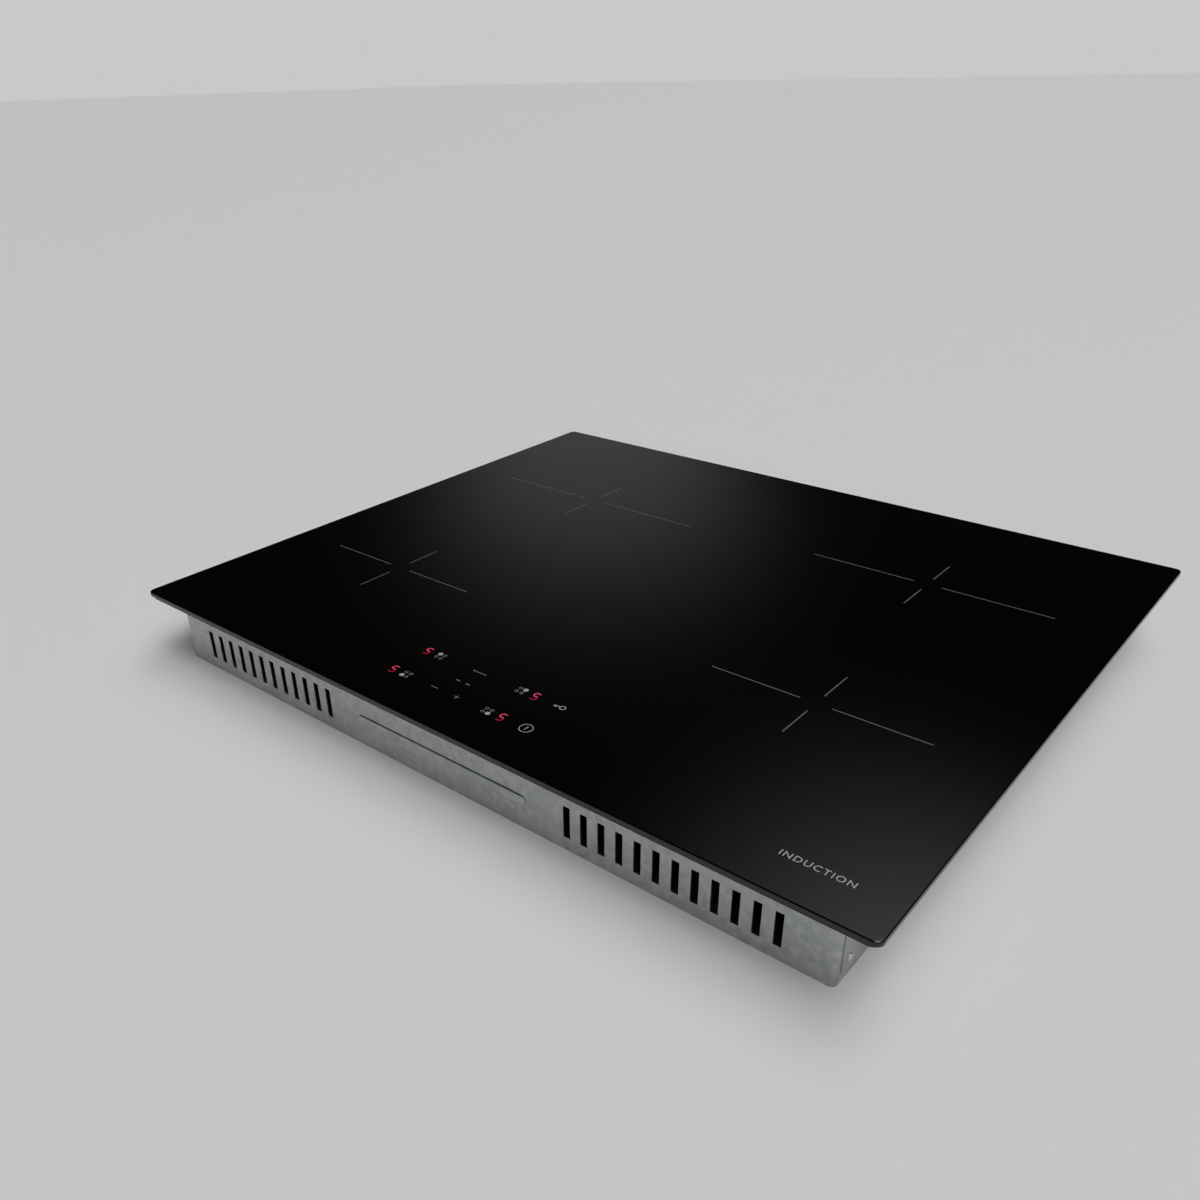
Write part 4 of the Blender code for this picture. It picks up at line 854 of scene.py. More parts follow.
class COOKTOP_OT_controls(bpy.types.Operator):
    """Prints the touch keys and lights the digits behind the glass"""

    bl_idname = "cooktop.controls"
    bl_label = "Touch controls"

    def execute(self, context):
        left, right = PANEL_X - KEY_X, PANEL_X + KEY_X
        front, rear = PANEL_Y - ROW, PANEL_Y + ROW
        keys = bmesh.new()
        for active, (x, y) in enumerate(((left, front), (left, rear), (right, rear), (right, front))):
            add_zone_key(keys, x, y, active)
        self.add_lock(keys, PANEL_X + LOCK_X, rear)
        self.add_power(keys, PANEL_X + LOCK_X, front)
        finished("touch_key_print", keys, "key_print", smooth=0)
        setters = bmesh.new()
        self.add_setters(setters, front, rear)
        finished("timer_key_print", setters, "setter_print", smooth=0)

        lit, timer = bmesh.new(), bmesh.new()
        for x in (PANEL_X - DIGIT_X, PANEL_X + DIGIT_X):
            for y in (front, rear):
                add_digit(lit, "5", x, y)
        for x in (PANEL_X - TIMER_X, PANEL_X + TIMER_X):
            add_digit(timer, "-", x, PANEL_Y)
        finished("zone_level_digits", lit, "lit lit_low", smooth=0)
        finished("timer_digits", timer, "timer_lit", smooth=0)
        return {"FINISHED"}

    def add_setters(self, bm, front, rear):
        """Minus and plus keys, and the timer key's row of dashes behind them."""
        half, minus, plus = 0.24 * MM, 3.0 * MM, 2.0 * MM
        dash, thick, pitch = 1.15 * MM, 0.4 * MM, 3.0 * MM
        add_print(bm, bar(-minus, -half, minus, half), on_glass(PANEL_X - SETTER_X, front))
        place = on_glass(PANEL_X + SETTER_X, front)
        for outline in (
            bar(-plus, -half, plus, half), bar(-half, half, half, plus), bar(-half, -plus, half, -half),
        ):
            add_print(bm, outline, place)
        for step in (-1.5, -0.5, 0.5, 1.5):
            add_print(bm, bar(-dash, -thick, dash, thick), on_glass(PANEL_X + step * pitch, rear))

    def add_lock(self, bm, x, y):
        """A small key: a bow, a shaft and two teeth."""
        place = on_glass(x, y)
        half = 0.33 * MM
        add_ring(bm, 1.9 * MM, 0.6 * MM, place @ Matrix.Translation((2.3 * MM, 0, 0)))
        add_print(bm, bar(-4.0 * MM, -half, 0.3 * MM, half), place)
        for tooth in (-3.7, -2.4):
            add_print(bm, bar((tooth - 0.3) * MM, -1.7 * MM, (tooth + 0.4) * MM, -half), place)

    def add_power(self, bm, x, y):
        """The standby symbol: a ring round a short upright stroke."""
        place = on_glass(x, y)
        add_ring(bm, 4.3 * MM, 0.5 * MM, place)
        add_print(bm, bar(-0.3 * MM, -2.1 * MM, 0.3 * MM, 2.1 * MM), place)


class COOKTOP_OT_word_mark(bpy.types.Operator):
    """Prints a plain generic word near the front right corner"""

    bl_idname = "cooktop.word_mark"
    bl_label = "Generic word"

    def execute(self, context):
        settings = context.scene.cooktop_print
        # The word's two ends and the foot of its letters, from the glass's middle.
        left, right, base = 0.2325, 0.2735, 0.0268 + GLASS_LOW[1]
        curve = bpy.data.curves.new("word", "FONT")
        curve.body = settings.mark_text
        curve.size = 6.2 * MM
        curve.space_character = 1.18
        curve.extrude = settings.height / 2
        curve.resolution_u = 3
        text = bpy.data.objects.new("word", curve)
        context.scene.collection.objects.link(text)
        context.view_layer.update()
        mesh = bpy.data.meshes.new_from_object(text.evaluated_get(context.evaluated_depsgraph_get()))
        bpy.data.objects.remove(text)
        bm = bmesh.new()
        bm.from_mesh(mesh)
        bpy.data.meshes.remove(mesh)
        bmesh.ops.remove_doubles(bm, verts=bm.verts, dist=WELD)
        low = min(v.co.x for v in bm.verts)
        wide = max(v.co.x for v in bm.verts) - low
        fit = (right - left) / wide
        place = on_glass(left, base) @ Matrix.Diagonal((fit, fit, 1, 1)) @ Matrix.Translation((-low, 0, 0))
        bmesh.ops.transform(bm, matrix=place, verts=bm.verts)
        finished("generic_word_mark", bm, "key_print", smooth=0)
        return {"FINISHED"}


# ---------------------------------------------------------------- casing
CASE_LOW, CASE_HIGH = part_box("bottom_case")
SKIN = 0.05 * MM  # between a piece laid on the casing and the casing's sheet


def wall_point(side, along, z):
    """A point on the casing's outside, with the wall's outward normal. side is front, rear, left or right."""
    if side in ENDS:
        return (along, CASE_HIGH[1] * ENDS[side], z), (0, ENDS[side], 0)
    return (CASE_HIGH[0] * SIDES[side], along, z), (SIDES[side], 0, 0)


def on_wall(side, along, z):
    """Carries a shape drawn level in X and upright in Y onto a wall of the casing."""
    point, normal = wall_point(side, along, z)
    out, up = Vector(normal), Vector((0, 0, 1))
    turn = Matrix((up.cross(out), up, out)).transposed().to_4x4()
    return Matrix.Translation(Vector(point) + out * SKIN) @ turn


class COOKTOP_OT_casing(bpy.types.Operator):
    """Adds the casing's beads, folded corner tabs with rivets, blank plate and inlet collar"""

    bl_idname = "cooktop.casing"
    bl_label = "Casing details"

    def execute(self, context):
        self.press_beads(context.scene.cooktop_casing.bead_height)
        self.fold_corners()
        self.stick_plate()
        self.fit_collar()
        return {"FINISHED"}

    def press_beads(self, height):
        """Long round-ended beads pressed outwards in the middle of the front wall and of the side walls."""
        bm = bmesh.new()
        wide, level = 7 * MM, 20 * MM
        for side, long in (("front", 150 * MM), ("left", 120 * MM), ("right", 120 * MM)):
            before = set(bm.verts)
            add_outline(bm, rounded(long / 2, wide / 2, wide / 2 - SKIN, 10), -SKIN, height)
            fresh = [f for f in bm.faces if not before & set(f.verts)]
            top = [f for f in fresh if abs(f.calc_center_median().z - height) < SKIN / 2]
            rims = list({e for f in top for e in f.edges})
            bmesh.ops.bevel(
                bm, geom=rims, offset=height * 0.8, segments=4, profile=0.5, affect="EDGES", material=-1,
            )
            verts = [v for v in bm.verts if v not in before]
            bmesh.ops.transform(bm, matrix=on_wall(side, 0, level), verts=verts)
        finished("wall_beads", bm, "zinc")

    def fold_corners(self):
        """Each wall's end is folded round the corner and riveted to the side wall."""
        tabs, rivets = bmesh.new(), bmesh.new()
        tall, wide, sheet = 37 * MM, 15 * MM, 0.7 * MM
        level, inset, rivet_at = 24.5 * MM, 4.5 * MM, 11 * MM
        dome = [
            (0, 0), (2.6 * MM, 0), (2.5 * MM, 0.5 * MM), (1.9 * MM, 1.1 * MM), (0.9 * MM, 1.4 * MM),
            (0, 1.45 * MM),
        ]
        for side in SIDES:
            for end in ENDS.values():
                along = end * (CASE_HIGH[1] - inset - wide / 2)
                place = on_wall(side, along, level)
                verts = add_outline(tabs, rounded(wide / 2, tall / 2, 2 * MM), 0, sheet, turn=place)
                top = [e for e in {e for v in verts for e in v.link_edges}
                       if all(abs(abs(v.co.x) - CASE_HIGH[0] - sheet - SKIN) < SKIN / 2 for v in e.verts)]
                bmesh.ops.bevel(
                    tabs, geom=top, offset=0.25 * MM, segments=2, profile=0.5, affect="EDGES", material=-1,
                )
                for z in (-rivet_at, rivet_at):
                    add_turned(rivets, dome, 24, place @ Matrix.Translation((0, z, sheet)))
        finished("corner_tabs", tabs, "zinc")
        finished("corner_rivets", rivets, "mill")

    def stick_plate(self):
        """A rating plate left blank, with empty ruled fields."""
        bm = bmesh.new()
        wide, tall, sheet = 62 * MM, 8.4 * MM, 0.15 * MM
        place = on_wall("rear", -0.164, 39.5 * MM)
        add_outline(bm, rounded(wide / 2, tall / 2, 1.2 * MM), 0, sheet, turn=place)
        line = 0.25 * MM
        for x in (-22 * MM, -4 * MM, 14 * MM):
            add_outline(bm, bar(x, -3.2 * MM, x + line, 3.2 * MM), sheet / 2, sheet + 0.03 * MM, 1, place)
        for y in (-3.2 * MM, 3.0 * MM):
            add_outline(bm, bar(-29 * MM, y, 29 * MM, y + line), sheet / 2, sheet + 0.03 * MM, 1, place)
        finished("blank_rating_plate", bm, "plate_film plate_ink", smooth=0)

    def fit_collar(self):
        """The moulded collar that lines the cable inlet."""
        bm = bmesh.new()
        bore, lip = 8.6 * MM, 11.2 * MM
        profile = [
            (bore, -3.2 * MM), (bore + 0.35 * MM, -3.4 * MM), (bore + 0.35 * MM, 0), (lip, 0),
            (lip, 0.9 * MM), (lip - 0.5 * MM, 1.4 * MM), (bore + 0.6 * MM, 1.4 * MM), (bore, 0.8 * MM),
        ]
        add_turned(bm, profile, 48, on_wall("rear", 36 * MM, 16.8 * MM))
        finished("inlet_collar", bm, "rubber")


# ---------------------------------------------------------------- screws and clips
class COOKTOP_OT_screws(bpy.types.Operator):
    """Turns the casing screws with cross recesses in their pan heads"""

    bl_idname = "cooktop.screws"
    bl_label = "Casing screws"

    def execute(self, context):
        head = context.scene.cooktop_casing.screw_head / 2
        shank, rim, long = 1.6 * MM, 2.2 * MM, 6 * MM
        for node in [n for n in frame["nodes"] if n.startswith("case_screw")]:
            side = node.split("_")[2]
            centre = middle(node)
            along = centre.x if side in ENDS else centre.y
            point, normal = wall_point(side, along, centre.z)
            bm = bmesh.new()
            profile = [(0, -long), (shank * 0.4, -long), (shank, -long + 1.2 * MM)]
            # The thread is a run of grooves, a seventh of the shank's radius deep.
            profile += [(shank * (1 - 0.14 * (i % 2)), -long + (1.2 + 0.3 * i) * MM) for i in range(1, 14)]
            profile += [(shank, 0.3 * MM), (head * 0.95, 0.3 * MM), (head, 0.5 * MM), (head, 0.9 * MM)]
            profile += [
                (head * (0.55 + 0.45 * math.cos(a)), 0.9 * MM + (rim - 0.6 * MM) * math.sin(a))
                for a in (0.4, 0.8, 1.2, math.pi / 2)
            ]
            profile += [(0, rim + 0.35 * MM)]
            add_turned(bm, profile, 32)
            recess = bmesh.new()
            arm, half, deep = 1.9 * MM, 0.42 * MM, rim - 1.1 * MM
            cross = [(half, half), (half, arm), (-half, arm), (-half, half), (-arm, half), (-arm, -half),
                     (-half, -half), (-half, -arm), (half, -arm), (half, -half), (arm, -half), (arm, half)]
            add_outline(recess, cross, deep, rim + MM)
            bm = carved(bm, recess)
            bmesh.ops.transform(bm, matrix=facing(point, normal), verts=bm.verts)
            finished(f"pan_head_{node}", bm, "plated", replaces=[node], smooth=30)
        return {"FINISHED"}


class COOKTOP_OT_clips(bpy.types.Operator):
    """Bends the four spring clips of the side walls"""

    bl_idname = "cooktop.clips"
    bl_label = "Spring clips"

    def execute(self, context):
        for side, sx in SIDES.items():
            for end in ENDS:
                node = f"side_clip_{end}_{side}"
                low, high = box(node)
                self.bend(node, sx, (low.y + high.y) / 2, high.y - low.y)
        return {"FINISHED"}

    def bend(self, node, sx, y, wide):
        """One clip: a hook on the wall's slot, a leg that bulges outwards, and its tip back in the window."""
        hinge = pivot(f"{node}_press")
        bulge, drop, sheet = 6.2 * MM, 31 * MM, 0.8 * MM
        hook = [
            (-2.5 * MM, -3.0 * MM), (-2.5 * MM, -0.9 * MM), (-1.6 * MM, -0.02 * MM), (0.4 * MM, -0.02 * MM),
            (1.2 * MM, -0.8 * MM), (1.8 * MM, -3.0 * MM),
        ]
        # The leg's points, as shares of the bulge and of the drop.
        leg = [
            (0.45, -0.24), (0.85, -0.44), (0.93, -0.55), (0.85, -0.66), (0.40, -0.78), (-0.29, -0.91),
            (-0.516, -0.96),
        ]
        path = [Vector((sx * x, z)) for x, z in hook + [(bulge * x, drop * z) for x, z in leg]]
        bm = bmesh.new()
        add_outline(bm, strip(eased(path, 5), sheet), -wide / 2, wide / 2)
        level = [e for e in bm.edges if abs(e.verts[0].co.z - e.verts[1].co.z) < SKIN]
        rims = [e for e in level if len(e.link_faces) == 2]
        bmesh.ops.bevel(
            bm, geom=rims, offset=0.15 * MM, segments=2, profile=0.5, affect="EDGES", material=-1,
        )
        upright = Matrix.Translation((hinge.x, y, hinge.z)) @ Matrix.Rotation(math.pi / 2, 4, "X")
        bmesh.ops.transform(bm, matrix=upright, verts=bm.verts)
        finished(f"spring_{node}", bm, "spring", body=node, replaces=[node], smooth=40)


# ---------------------------------------------------------------- mains terminal
class COOKTOP_OT_terminal(bpy.types.Operator):
    """Moulds the ribbed terminal cover and puts the screws into the terminal block"""

    bl_idname = "cooktop.terminal"
    bl_label = "Mains terminal"

    def execute(self, context):
        self.mould_cover()
        self.fill_block()
        return {"FINISHED"}

    def mould_cover(self):
        """The cover's plate with finger ribs, side ribs, a snap nose and a hinge barrel in knuckles."""
        low, high = box("terminal_cover")
        axis = pivot("terminal_cover_hinge")
        half, barrel = 0.85 * MM, 2.2 * MM
        bm = bmesh.new()
        add_block(bm, (low.x, axis.y - half, axis.z), (high.x, axis.y + half, high.z), 0.3 * MM)
        # Finger ribs across the outside, and a snap nose at the top edge's middle.
        rib, mid = 0.75 * MM, (low.x + high.x) / 2
        skin = axis.y + half / 2
        for row in range(5):
            z = high.z - 3.2 * MM - row * 2.2 * MM
            start, end = (mid - 9 * MM, skin, z - 0.5 * MM), (mid + 9 * MM, axis.y + half + rib, z + 0.5 * MM)
            add_block(bm, start, end, 0.35 * MM)
        for x in (low.x + 4 * MM, high.x - 4 * MM):
            start = (x - 0.6 * MM, skin, axis.z + barrel)
            end = (x + 0.6 * MM, axis.y + half + rib / 2, high.z - MM)
            add_block(bm, start, end, 0.25 * MM)
        start = (mid - 5 * MM, axis.y - half - 1.1 * MM, high.z - 2.4 * MM)
        add_block(bm, start, (mid + 5 * MM, axis.y, high.z - 0.8 * MM), 0.4 * MM)
        # The barrel is in five knuckles, bored for the box's pins.
        pitch, bore = (high.x - low.x) / 5, 0.9 * MM
        turn = Matrix.Rotation(math.pi / 2, 4, "Y")
        for knuckle in range(5):
            x = low.x + knuckle * pitch
            profile = [(bore, 0), (barrel - 0.2 * MM, 0), (barrel, 0.2 * MM), (barrel, pitch - 0.5 * MM),
                       (barrel - 0.2 * MM, pitch - 0.3 * MM), (bore, pitch - 0.3 * MM)]
            add_turned(bm, profile, 32, Matrix.Translation((x, axis.y, axis.z)) @ turn)
        finished("ribbed_terminal_cover", bm, "black", body="terminal_cover",
                 replaces=["terminal_cover"])

    def fill_block(self):
        """A slotted screw in each pole's well."""
        low, high = box("terminal_block")
        poles, rib = 6, 3.2 * MM
        pitch = (high.x - low.x) / poles
        rear = high.y - rib
        bm = bmesh.new()
        for pole in range(poles):
            head = bmesh.new()
            profile = [(0, -2.5 * MM), (2.5 * MM, -2.5 * MM), (2.5 * MM, -0.3 * MM), (2.2 * MM, 0), (0, 0)]
            add_turned(head, profile, 24)
            slot = bmesh.new()
            add_block(slot, (-0.35 * MM, -3 * MM, -0.9 * MM), (0.35 * MM, 3 * MM, MM))
            head = carved(head, slot)
            point = (low.x + (pole + 0.5) * pitch, rear - 2.4 * MM, low.z + 13 * MM)
            turn = facing(point, (0, 1, 0)) @ Matrix.Rotation(0.5 * pole, 4, "Z")
            bmesh.ops.transform(head, matrix=turn, verts=head.verts)
            shape = bpy.data.meshes.new("head")
            head.to_mesh(shape)
            head.free()
            bm.from_mesh(shape)
            bpy.data.meshes.remove(shape)
        finished("terminal_screws", bm, "brass", smooth=30)


# ---------------------------------------------------------------- coils
class COOKTOP_OT_coils(bpy.types.Operator):
    """Winds each zone's flat spiral of litz wire"""

    bl_idname = "cooktop.coils"
    bl_label = "Coil windings"

    def execute(self, context):
        wire = context.scene.cooktop_inside.wire
        bore, pitch = 19.5 * MM, wire + 0.08 * MM
        for zone in ZONES:
            node = f"coil_winding_{zone}"
            centre, reach = middle(node), size(node).x / 2
            turns = int((reach - bore - wire) / pitch * 4) / 4
            bm = bmesh.new()
            add_coil(bm, centre, bore + wire / 2, wire, turns, 48, 10, widen=pitch)
            finished(f"litz_spiral_{zone}", bm, "litz", replaces=[node], smooth=60)
        return {"FINISHED"}


# ---------------------------------------------------------------- blowers
class COOKTOP_OT_blowers(bpy.types.Operator):
    """Moulds the blower rotors with curved blades round a motor cup"""

    bl_idname = "cooktop.blowers"
    bl_label = "Blower rotors"

    def execute(self, context):
        settings = context.scene.cooktop_inside
        for side, sx in SIDES.items():
            node = f"blower_rotor_{side}"
            low, high = box(node)
            axle = pivot(f"blower_{side}_spin")
            place = Matrix.Translation((axle.x, axle.y, 0))
            reach, disc = 39 * MM, high.z - 1.5 * MM
            cup, bore, shaft = 18 * MM, 16.3 * MM, 1.5 * MM
            floor = low.z + 3.5 * MM
            bm = bmesh.new()
            add_turned(bm, [
                (0, floor), (cup - MM, floor), (cup, floor + MM), (cup, disc - MM), (cup + MM, disc),
                (reach, disc), (reach, high.z), (bore, high.z),
                (bore, floor + 1.7 * MM), (shaft, floor + 1.7 * MM),
                (shaft, high.z - 4 * MM), (0, high.z - 4 * MM),
            ], 64, place)
            rim, inside = low.z + 1.5 * MM, reach - 3 * MM
            add_turned(bm, [(inside, low.z), (reach, low.z), (reach, rim), (inside, rim)], 64, place)
            # Each blade is bent along an arc, forward to the way that the rotor turns.
            long, bow = 9.2 * MM, 2.2 * MM
            arc = [Vector((long * t, bow * math.sin(math.pi * t) * sx)) for t in (0, 0.2, 0.4, 0.6, 0.8, 1)]
            for blade in range(settings.blades):
                lean = place @ Matrix.Rotation(2 * math.pi * blade / settings.blades, 4, "Z")
                lean = lean @ Matrix.Translation((reach - 8.2 * MM, 0, 0)) @ Matrix.Rotation(sx * 0.5, 4, "Z")
                outline = strip(arc, settings.blade_sheet)
                add_outline(bm, outline, low.z + 0.4 * MM, disc + 0.5 * MM, turn=lean)
            finished(
                f"bladed_rotor_{side}", bm, "black", body=node, replaces=[node],
                smooth=40,
            )
        return {"FINISHED"}


# ---------------------------------------------------------------- circuit boards
BOARD = 1.6 * MM  # the laminate's thickness
PEG = 8 * MM  # a fixing screw's distance from a board's edges

# The finishes of a populated board's parts, and each one's place in the list.
PARTS = "film film_blue sleeve tin core winding epoxy relay nylon"
FILM, FILM_BLUE, SLEEVE, TIN, CORE, WINDING, EPOXY, RELAY, NYLON = range(9)


def add_board(bm, low, high, pads=()):
    """A circuit board in the first finish, with tinned rings round its fixing screws in the second."""
    add_block(bm, low, high, 0.15 * MM, 1)
    for x, y in pads:
        add_turned(bm, [(1.8 * MM, 0), (3.8 * MM, 0), (3.8 * MM, 0.05 * MM), (1.8 * MM, 0.05 * MM)], 24,
                   Matrix.Translation((x, y, high[2])), 1)


def add_fixing(bm, x, y, z):
    """A small pan-head screw in a board's corner."""
    profile = [(0, 0), (2.8 * MM, 0), (2.8 * MM, 0.7 * MM), (2.1 * MM, 1.6 * MM), (0, 1.9 * MM)]
    add_turned(bm, profile, 20, Matrix.Translation((x, y, z)))


def add_case(bm, x, y, z, wide, deep, tall, index):
    """A square-cornered component's case, with its edges softened."""
    add_block(
        bm, (x - wide / 2, y - deep / 2, z), (x + wide / 2, y + deep / 2, z + tall), 0.8 * MM, 3, index,
    )


def add_can_capacitor(bm, x, y, z, radius, tall):
    """An electrolytic capacitor: a shrunk sleeve with a rolled groove, and a scored aluminium top."""
    place = Matrix.Translation((x, y, z))
    groove = tall - 4 * MM
    add_turned(bm, [
        (0, 0), (radius - 0.4 * MM, 0), (radius, 0.4 * MM), (radius, groove),
        (radius - 0.7 * MM, groove + 0.8 * MM),
        (radius, groove + 1.6 * MM), (radius, tall - 0.6 * MM), (radius - 0.6 * MM, tall), (0, tall),
    ], 40, place, SLEEVE)
    disc, under, over = radius - 1.2 * MM, tall - 0.1 * MM, tall + 0.1 * MM
    add_turned(bm, [(0, under), (disc, under), (disc, over), (0, over)], 32, place, TIN)
    for turn in (0, math.pi / 2):
        score = place @ Matrix.Rotation(turn + 0.4, 4, "Z")
        start, end = (-radius * 0.6, -0.15 * MM, tall), (radius * 0.6, 0.15 * MM, tall + 0.2 * MM)
        add_block(bm, start, end, index=SLEEVE, turn=score)


def add_choke(bm, x, y, z, radius, tall, turns=16):
    """A ring core on edge-wound copper, flat on the board."""
    bore, wire = radius * 0.45, 1.5 * MM
    place = Matrix.Translation((x, y, z))
    inner, outer = bore + wire, radius - wire
    profile = [(inner, wire), (outer, wire), (outer, tall - wire), (inner, tall - wire)]
    add_turned(bm, profile, 40, place, CORE)
    for turn in range(turns):
        spoke = place @ Matrix.Rotation(2 * math.pi * turn / turns, 4, "Z")
        half = wire / 2
        loop = [Vector((u, 0, w)) for u, w in (
            (inner - half, half), (outer + half, half), (outer + half, tall - half),
            (inner - half, tall - half),
            (inner - half, half))]
        for start, end in zip(loop, loop[1:]):
            along = (end - start).to_track_quat("Z", "Y").to_matrix().to_4x4()
            run = spoke @ Matrix.Translation(start) @ along
            add_can(bm, half * 0.9, 0, (end - start).length, steps=8, index=WINDING, turn=run)


def add_chip(bm, x, y, z, wide, deep, tall, epoxy, tin, pins=6):
    """A moulded package with bent legs down both long sides."""
    low, high = (x - wide / 2, y - deep / 2, z + 0.3 * MM), (x + wide / 2, y + deep / 2, z + tall)
    add_block(bm, low, high, 0.25 * MM, 1, epoxy)
    for pin in range(pins):
        px = x + wide * ((pin + 0.5) / pins - 0.5)
        for side in (-1, 1):
            edge = y + side * deep / 2
            y0, y1 = sorted((edge - side * 0.2 * MM, edge + side * 1.2 * MM))
            add_block(bm, (px - 0.25 * MM, y0, z), (px + 0.25 * MM, y1, z + 0.6 * MM), index=tin)


def add_connector(bm, x, y, z, wide, deep, tall, ways):
    """An open header: a thin-walled shell round a row of pins."""
    wall, floor, pin = 0.9 * MM, 2 * MM, 0.3 * MM
    left, right, front, rear = x - wide / 2, x + wide / 2, y - deep / 2, y + deep / 2
    for low, high, top in (
        ((left, front), (right, front + wall), tall), ((left, rear - wall), (right, rear), tall),
        ((left, front), (left + wall, rear), tall), ((right - wall, front), (right, rear), tall),
        ((left, front), (right, rear), floor),
    ):
        add_block(bm, (*low, z), (*high, z + top), 0.15 * MM, 1, NYLON)
    for way in range(ways):
        at = x + (wide - 2 * wall) * ((way + 0.5) / ways - 0.5)
        add_block(bm, (at - pin, y - pin, z), (at + pin, y + pin, z + tall * 0.8), index=TIN)


def add_small_parts(bm, x, y, z, columns, rows, pitch, body, tin):
    """A field of small chip resistors with tinned ends."""
    half, tall = 0.6 * MM, 0.5 * MM
    for column in range(columns):
        for row in range(rows):
            cx, cy = x + column * pitch, y + row * pitch
            add_block(bm, (cx - half, cy - half, z), (cx + half, cy + half, z + tall), index=body)
            for side in (-0.8, 0.8):
                low, high = cx + (side - 0.2) * MM, cx + (side + 0.2) * MM
                add_block(bm, (low, cy - half, z), (high, cy + half, z + tall), index=tin)


class COOKTOP_OT_power_boards(bpy.types.Operator):
    """Populates the two inverter boards beside their heatsinks"""

    bl_idname = "cooktop.power_boards"
    bl_label = "Inverter boards"

    def execute(self, context):
        for side, sx in SIDES.items():
            node = f"power_board_{side}"
            low, high = box(node)
            top = low.z + BOARD
            inner, outer = (low.x, high.x) if sx > 0 else (high.x, low.x)
            across = (inner + sx * PEG, outer - sx * PEG)
            corners = [(x, y) for y in (low.y + PEG, high.y - PEG) for x in across]
            bm = bmesh.new()
            add_board(bm, low, (high.x, high.y, top), corners)
            finished(f"inverter_board_{side}", bm, "mask tin", replaces=[node])
            self.populate(side, sx, inner, low.y, top, corners)
        return {"FINISHED"}

    def populate(self, side, sx, inner, front, top, corners):
        """Sets the board's parts by how far each lies from its inner edge and from its front edge."""
        def spot(along, back):
            return inner + sx * along * MM, front + back * MM, top

        bm = bmesh.new()
        for x, y in corners:
            add_fixing(bm, x, y, top)
        finished(f"board_screws_{side}", bm, "plated", smooth=30)
        bm = bmesh.new()
        for along, back, wide, deep, tall, index in (
            (26, 215, 42, 18, 24.5, FILM), (26, 190, 42, 18, 24.5, FILM), (26, 158, 42, 26, 22.5, FILM_BLUE),
            (16, 124, 20, 16, 18, RELAY), (44, 124, 20, 16, 18, RELAY),
            (160, 110, 14, 34, 10, RELAY), (160, 170, 14, 34, 10, RELAY),
        ):
            add_case(bm, *spot(along, back), wide * MM, deep * MM, tall * MM, index)
        add_choke(bm, *spot(20, 80), 15 * MM, 20 * MM)
        for along, back, radius, tall in (
            (56, 85, 8, 22.5), (30, 40, 8, 22.5), (144, 110, 5, 12), (144, 170, 5, 12),
        ):
            add_can_capacitor(bm, *spot(along, back), radius * MM, tall * MM)
        add_connector(bm, *spot(75, 40), 30 * MM, 12 * MM, 10 * MM, 6)
        add_connector(bm, *spot(130, 40), 26 * MM, 14 * MM, 12 * MM, 5)
        add_chip(bm, *spot(105, 18), 12 * MM, 10 * MM, 2.4 * MM, EPOXY, TIN, 8)
        for along, back, columns, rows in ((48, 14, 6, 3), (118, 14, 8, 3), (8, 98, 3, 3), (142, 64, 5, 6)):
            add_small_parts(bm, *spot(along, back), columns, rows, 3.4 * MM, EPOXY, TIN)
        finished(f"inverter_parts_{side}", bm, PARTS)


class COOKTOP_OT_filter_board(bpy.types.Operator):
    """Populates the mains filter board between the trays"""

    bl_idname = "cooktop.filter_board"
    bl_label = "Filter board"

    def execute(self, context):
        low, high = box("filter_board")
        board_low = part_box("power_board_left")[0][2]
        top = board_low + BOARD
        corners = [(x, y) for x in (low.x + PEG, high.x - PEG) for y in (low.y + PEG, high.y - PEG)]
        bm = bmesh.new()
        add_board(bm, (low.x, low.y, board_low), (high.x, high.y, top), corners)
        finished("mains_filter_board", bm, "mask tin", replaces=["filter_board"])
        bm = bmesh.new()
        bore, wall = 1.6 * MM, 3.5 * MM
        spacer = [(bore, low.z), (wall, low.z), (wall, board_low), (bore, board_low)]
        for x, y in corners:
            add_turned(bm, spacer, 24, Matrix.Translation((x, y, 0)))
        finished("filter_board_spacers", bm, "nylon")
        bm = bmesh.new()
        for x, y in corners:
            add_fixing(bm, x, y, top)
        finished("filter_board_screws", bm, "plated", smooth=30)
        bm = bmesh.new()
        for along in (20, 60):
            place = (low.x + along * MM, low.y + 28 * MM, top)
            add_case(bm, *place, 26 * MM, 16 * MM, 20 * MM, FILM_BLUE)
        add_choke(bm, low.x + 42 * MM, low.y + 68 * MM, top, 18 * MM, 22 * MM, 20)
        varistor = (low.x + 14 * MM, low.y + 80 * MM)
        add_can(bm, 5 * MM, top, top + 14 * MM, varistor, 32, 0.8 * MM, FILM_BLUE)
        add_connector(bm, low.x + 42 * MM, low.y + 112 * MM, top, 50 * MM, 12 * MM, 14 * MM, 6)
        add_small_parts(bm, low.x + 66 * MM, low.y + 60 * MM, top, 2, 6, 3.4 * MM, EPOXY, TIN)
        finished("filter_parts", bm, PARTS)
        return {"FINISHED"}


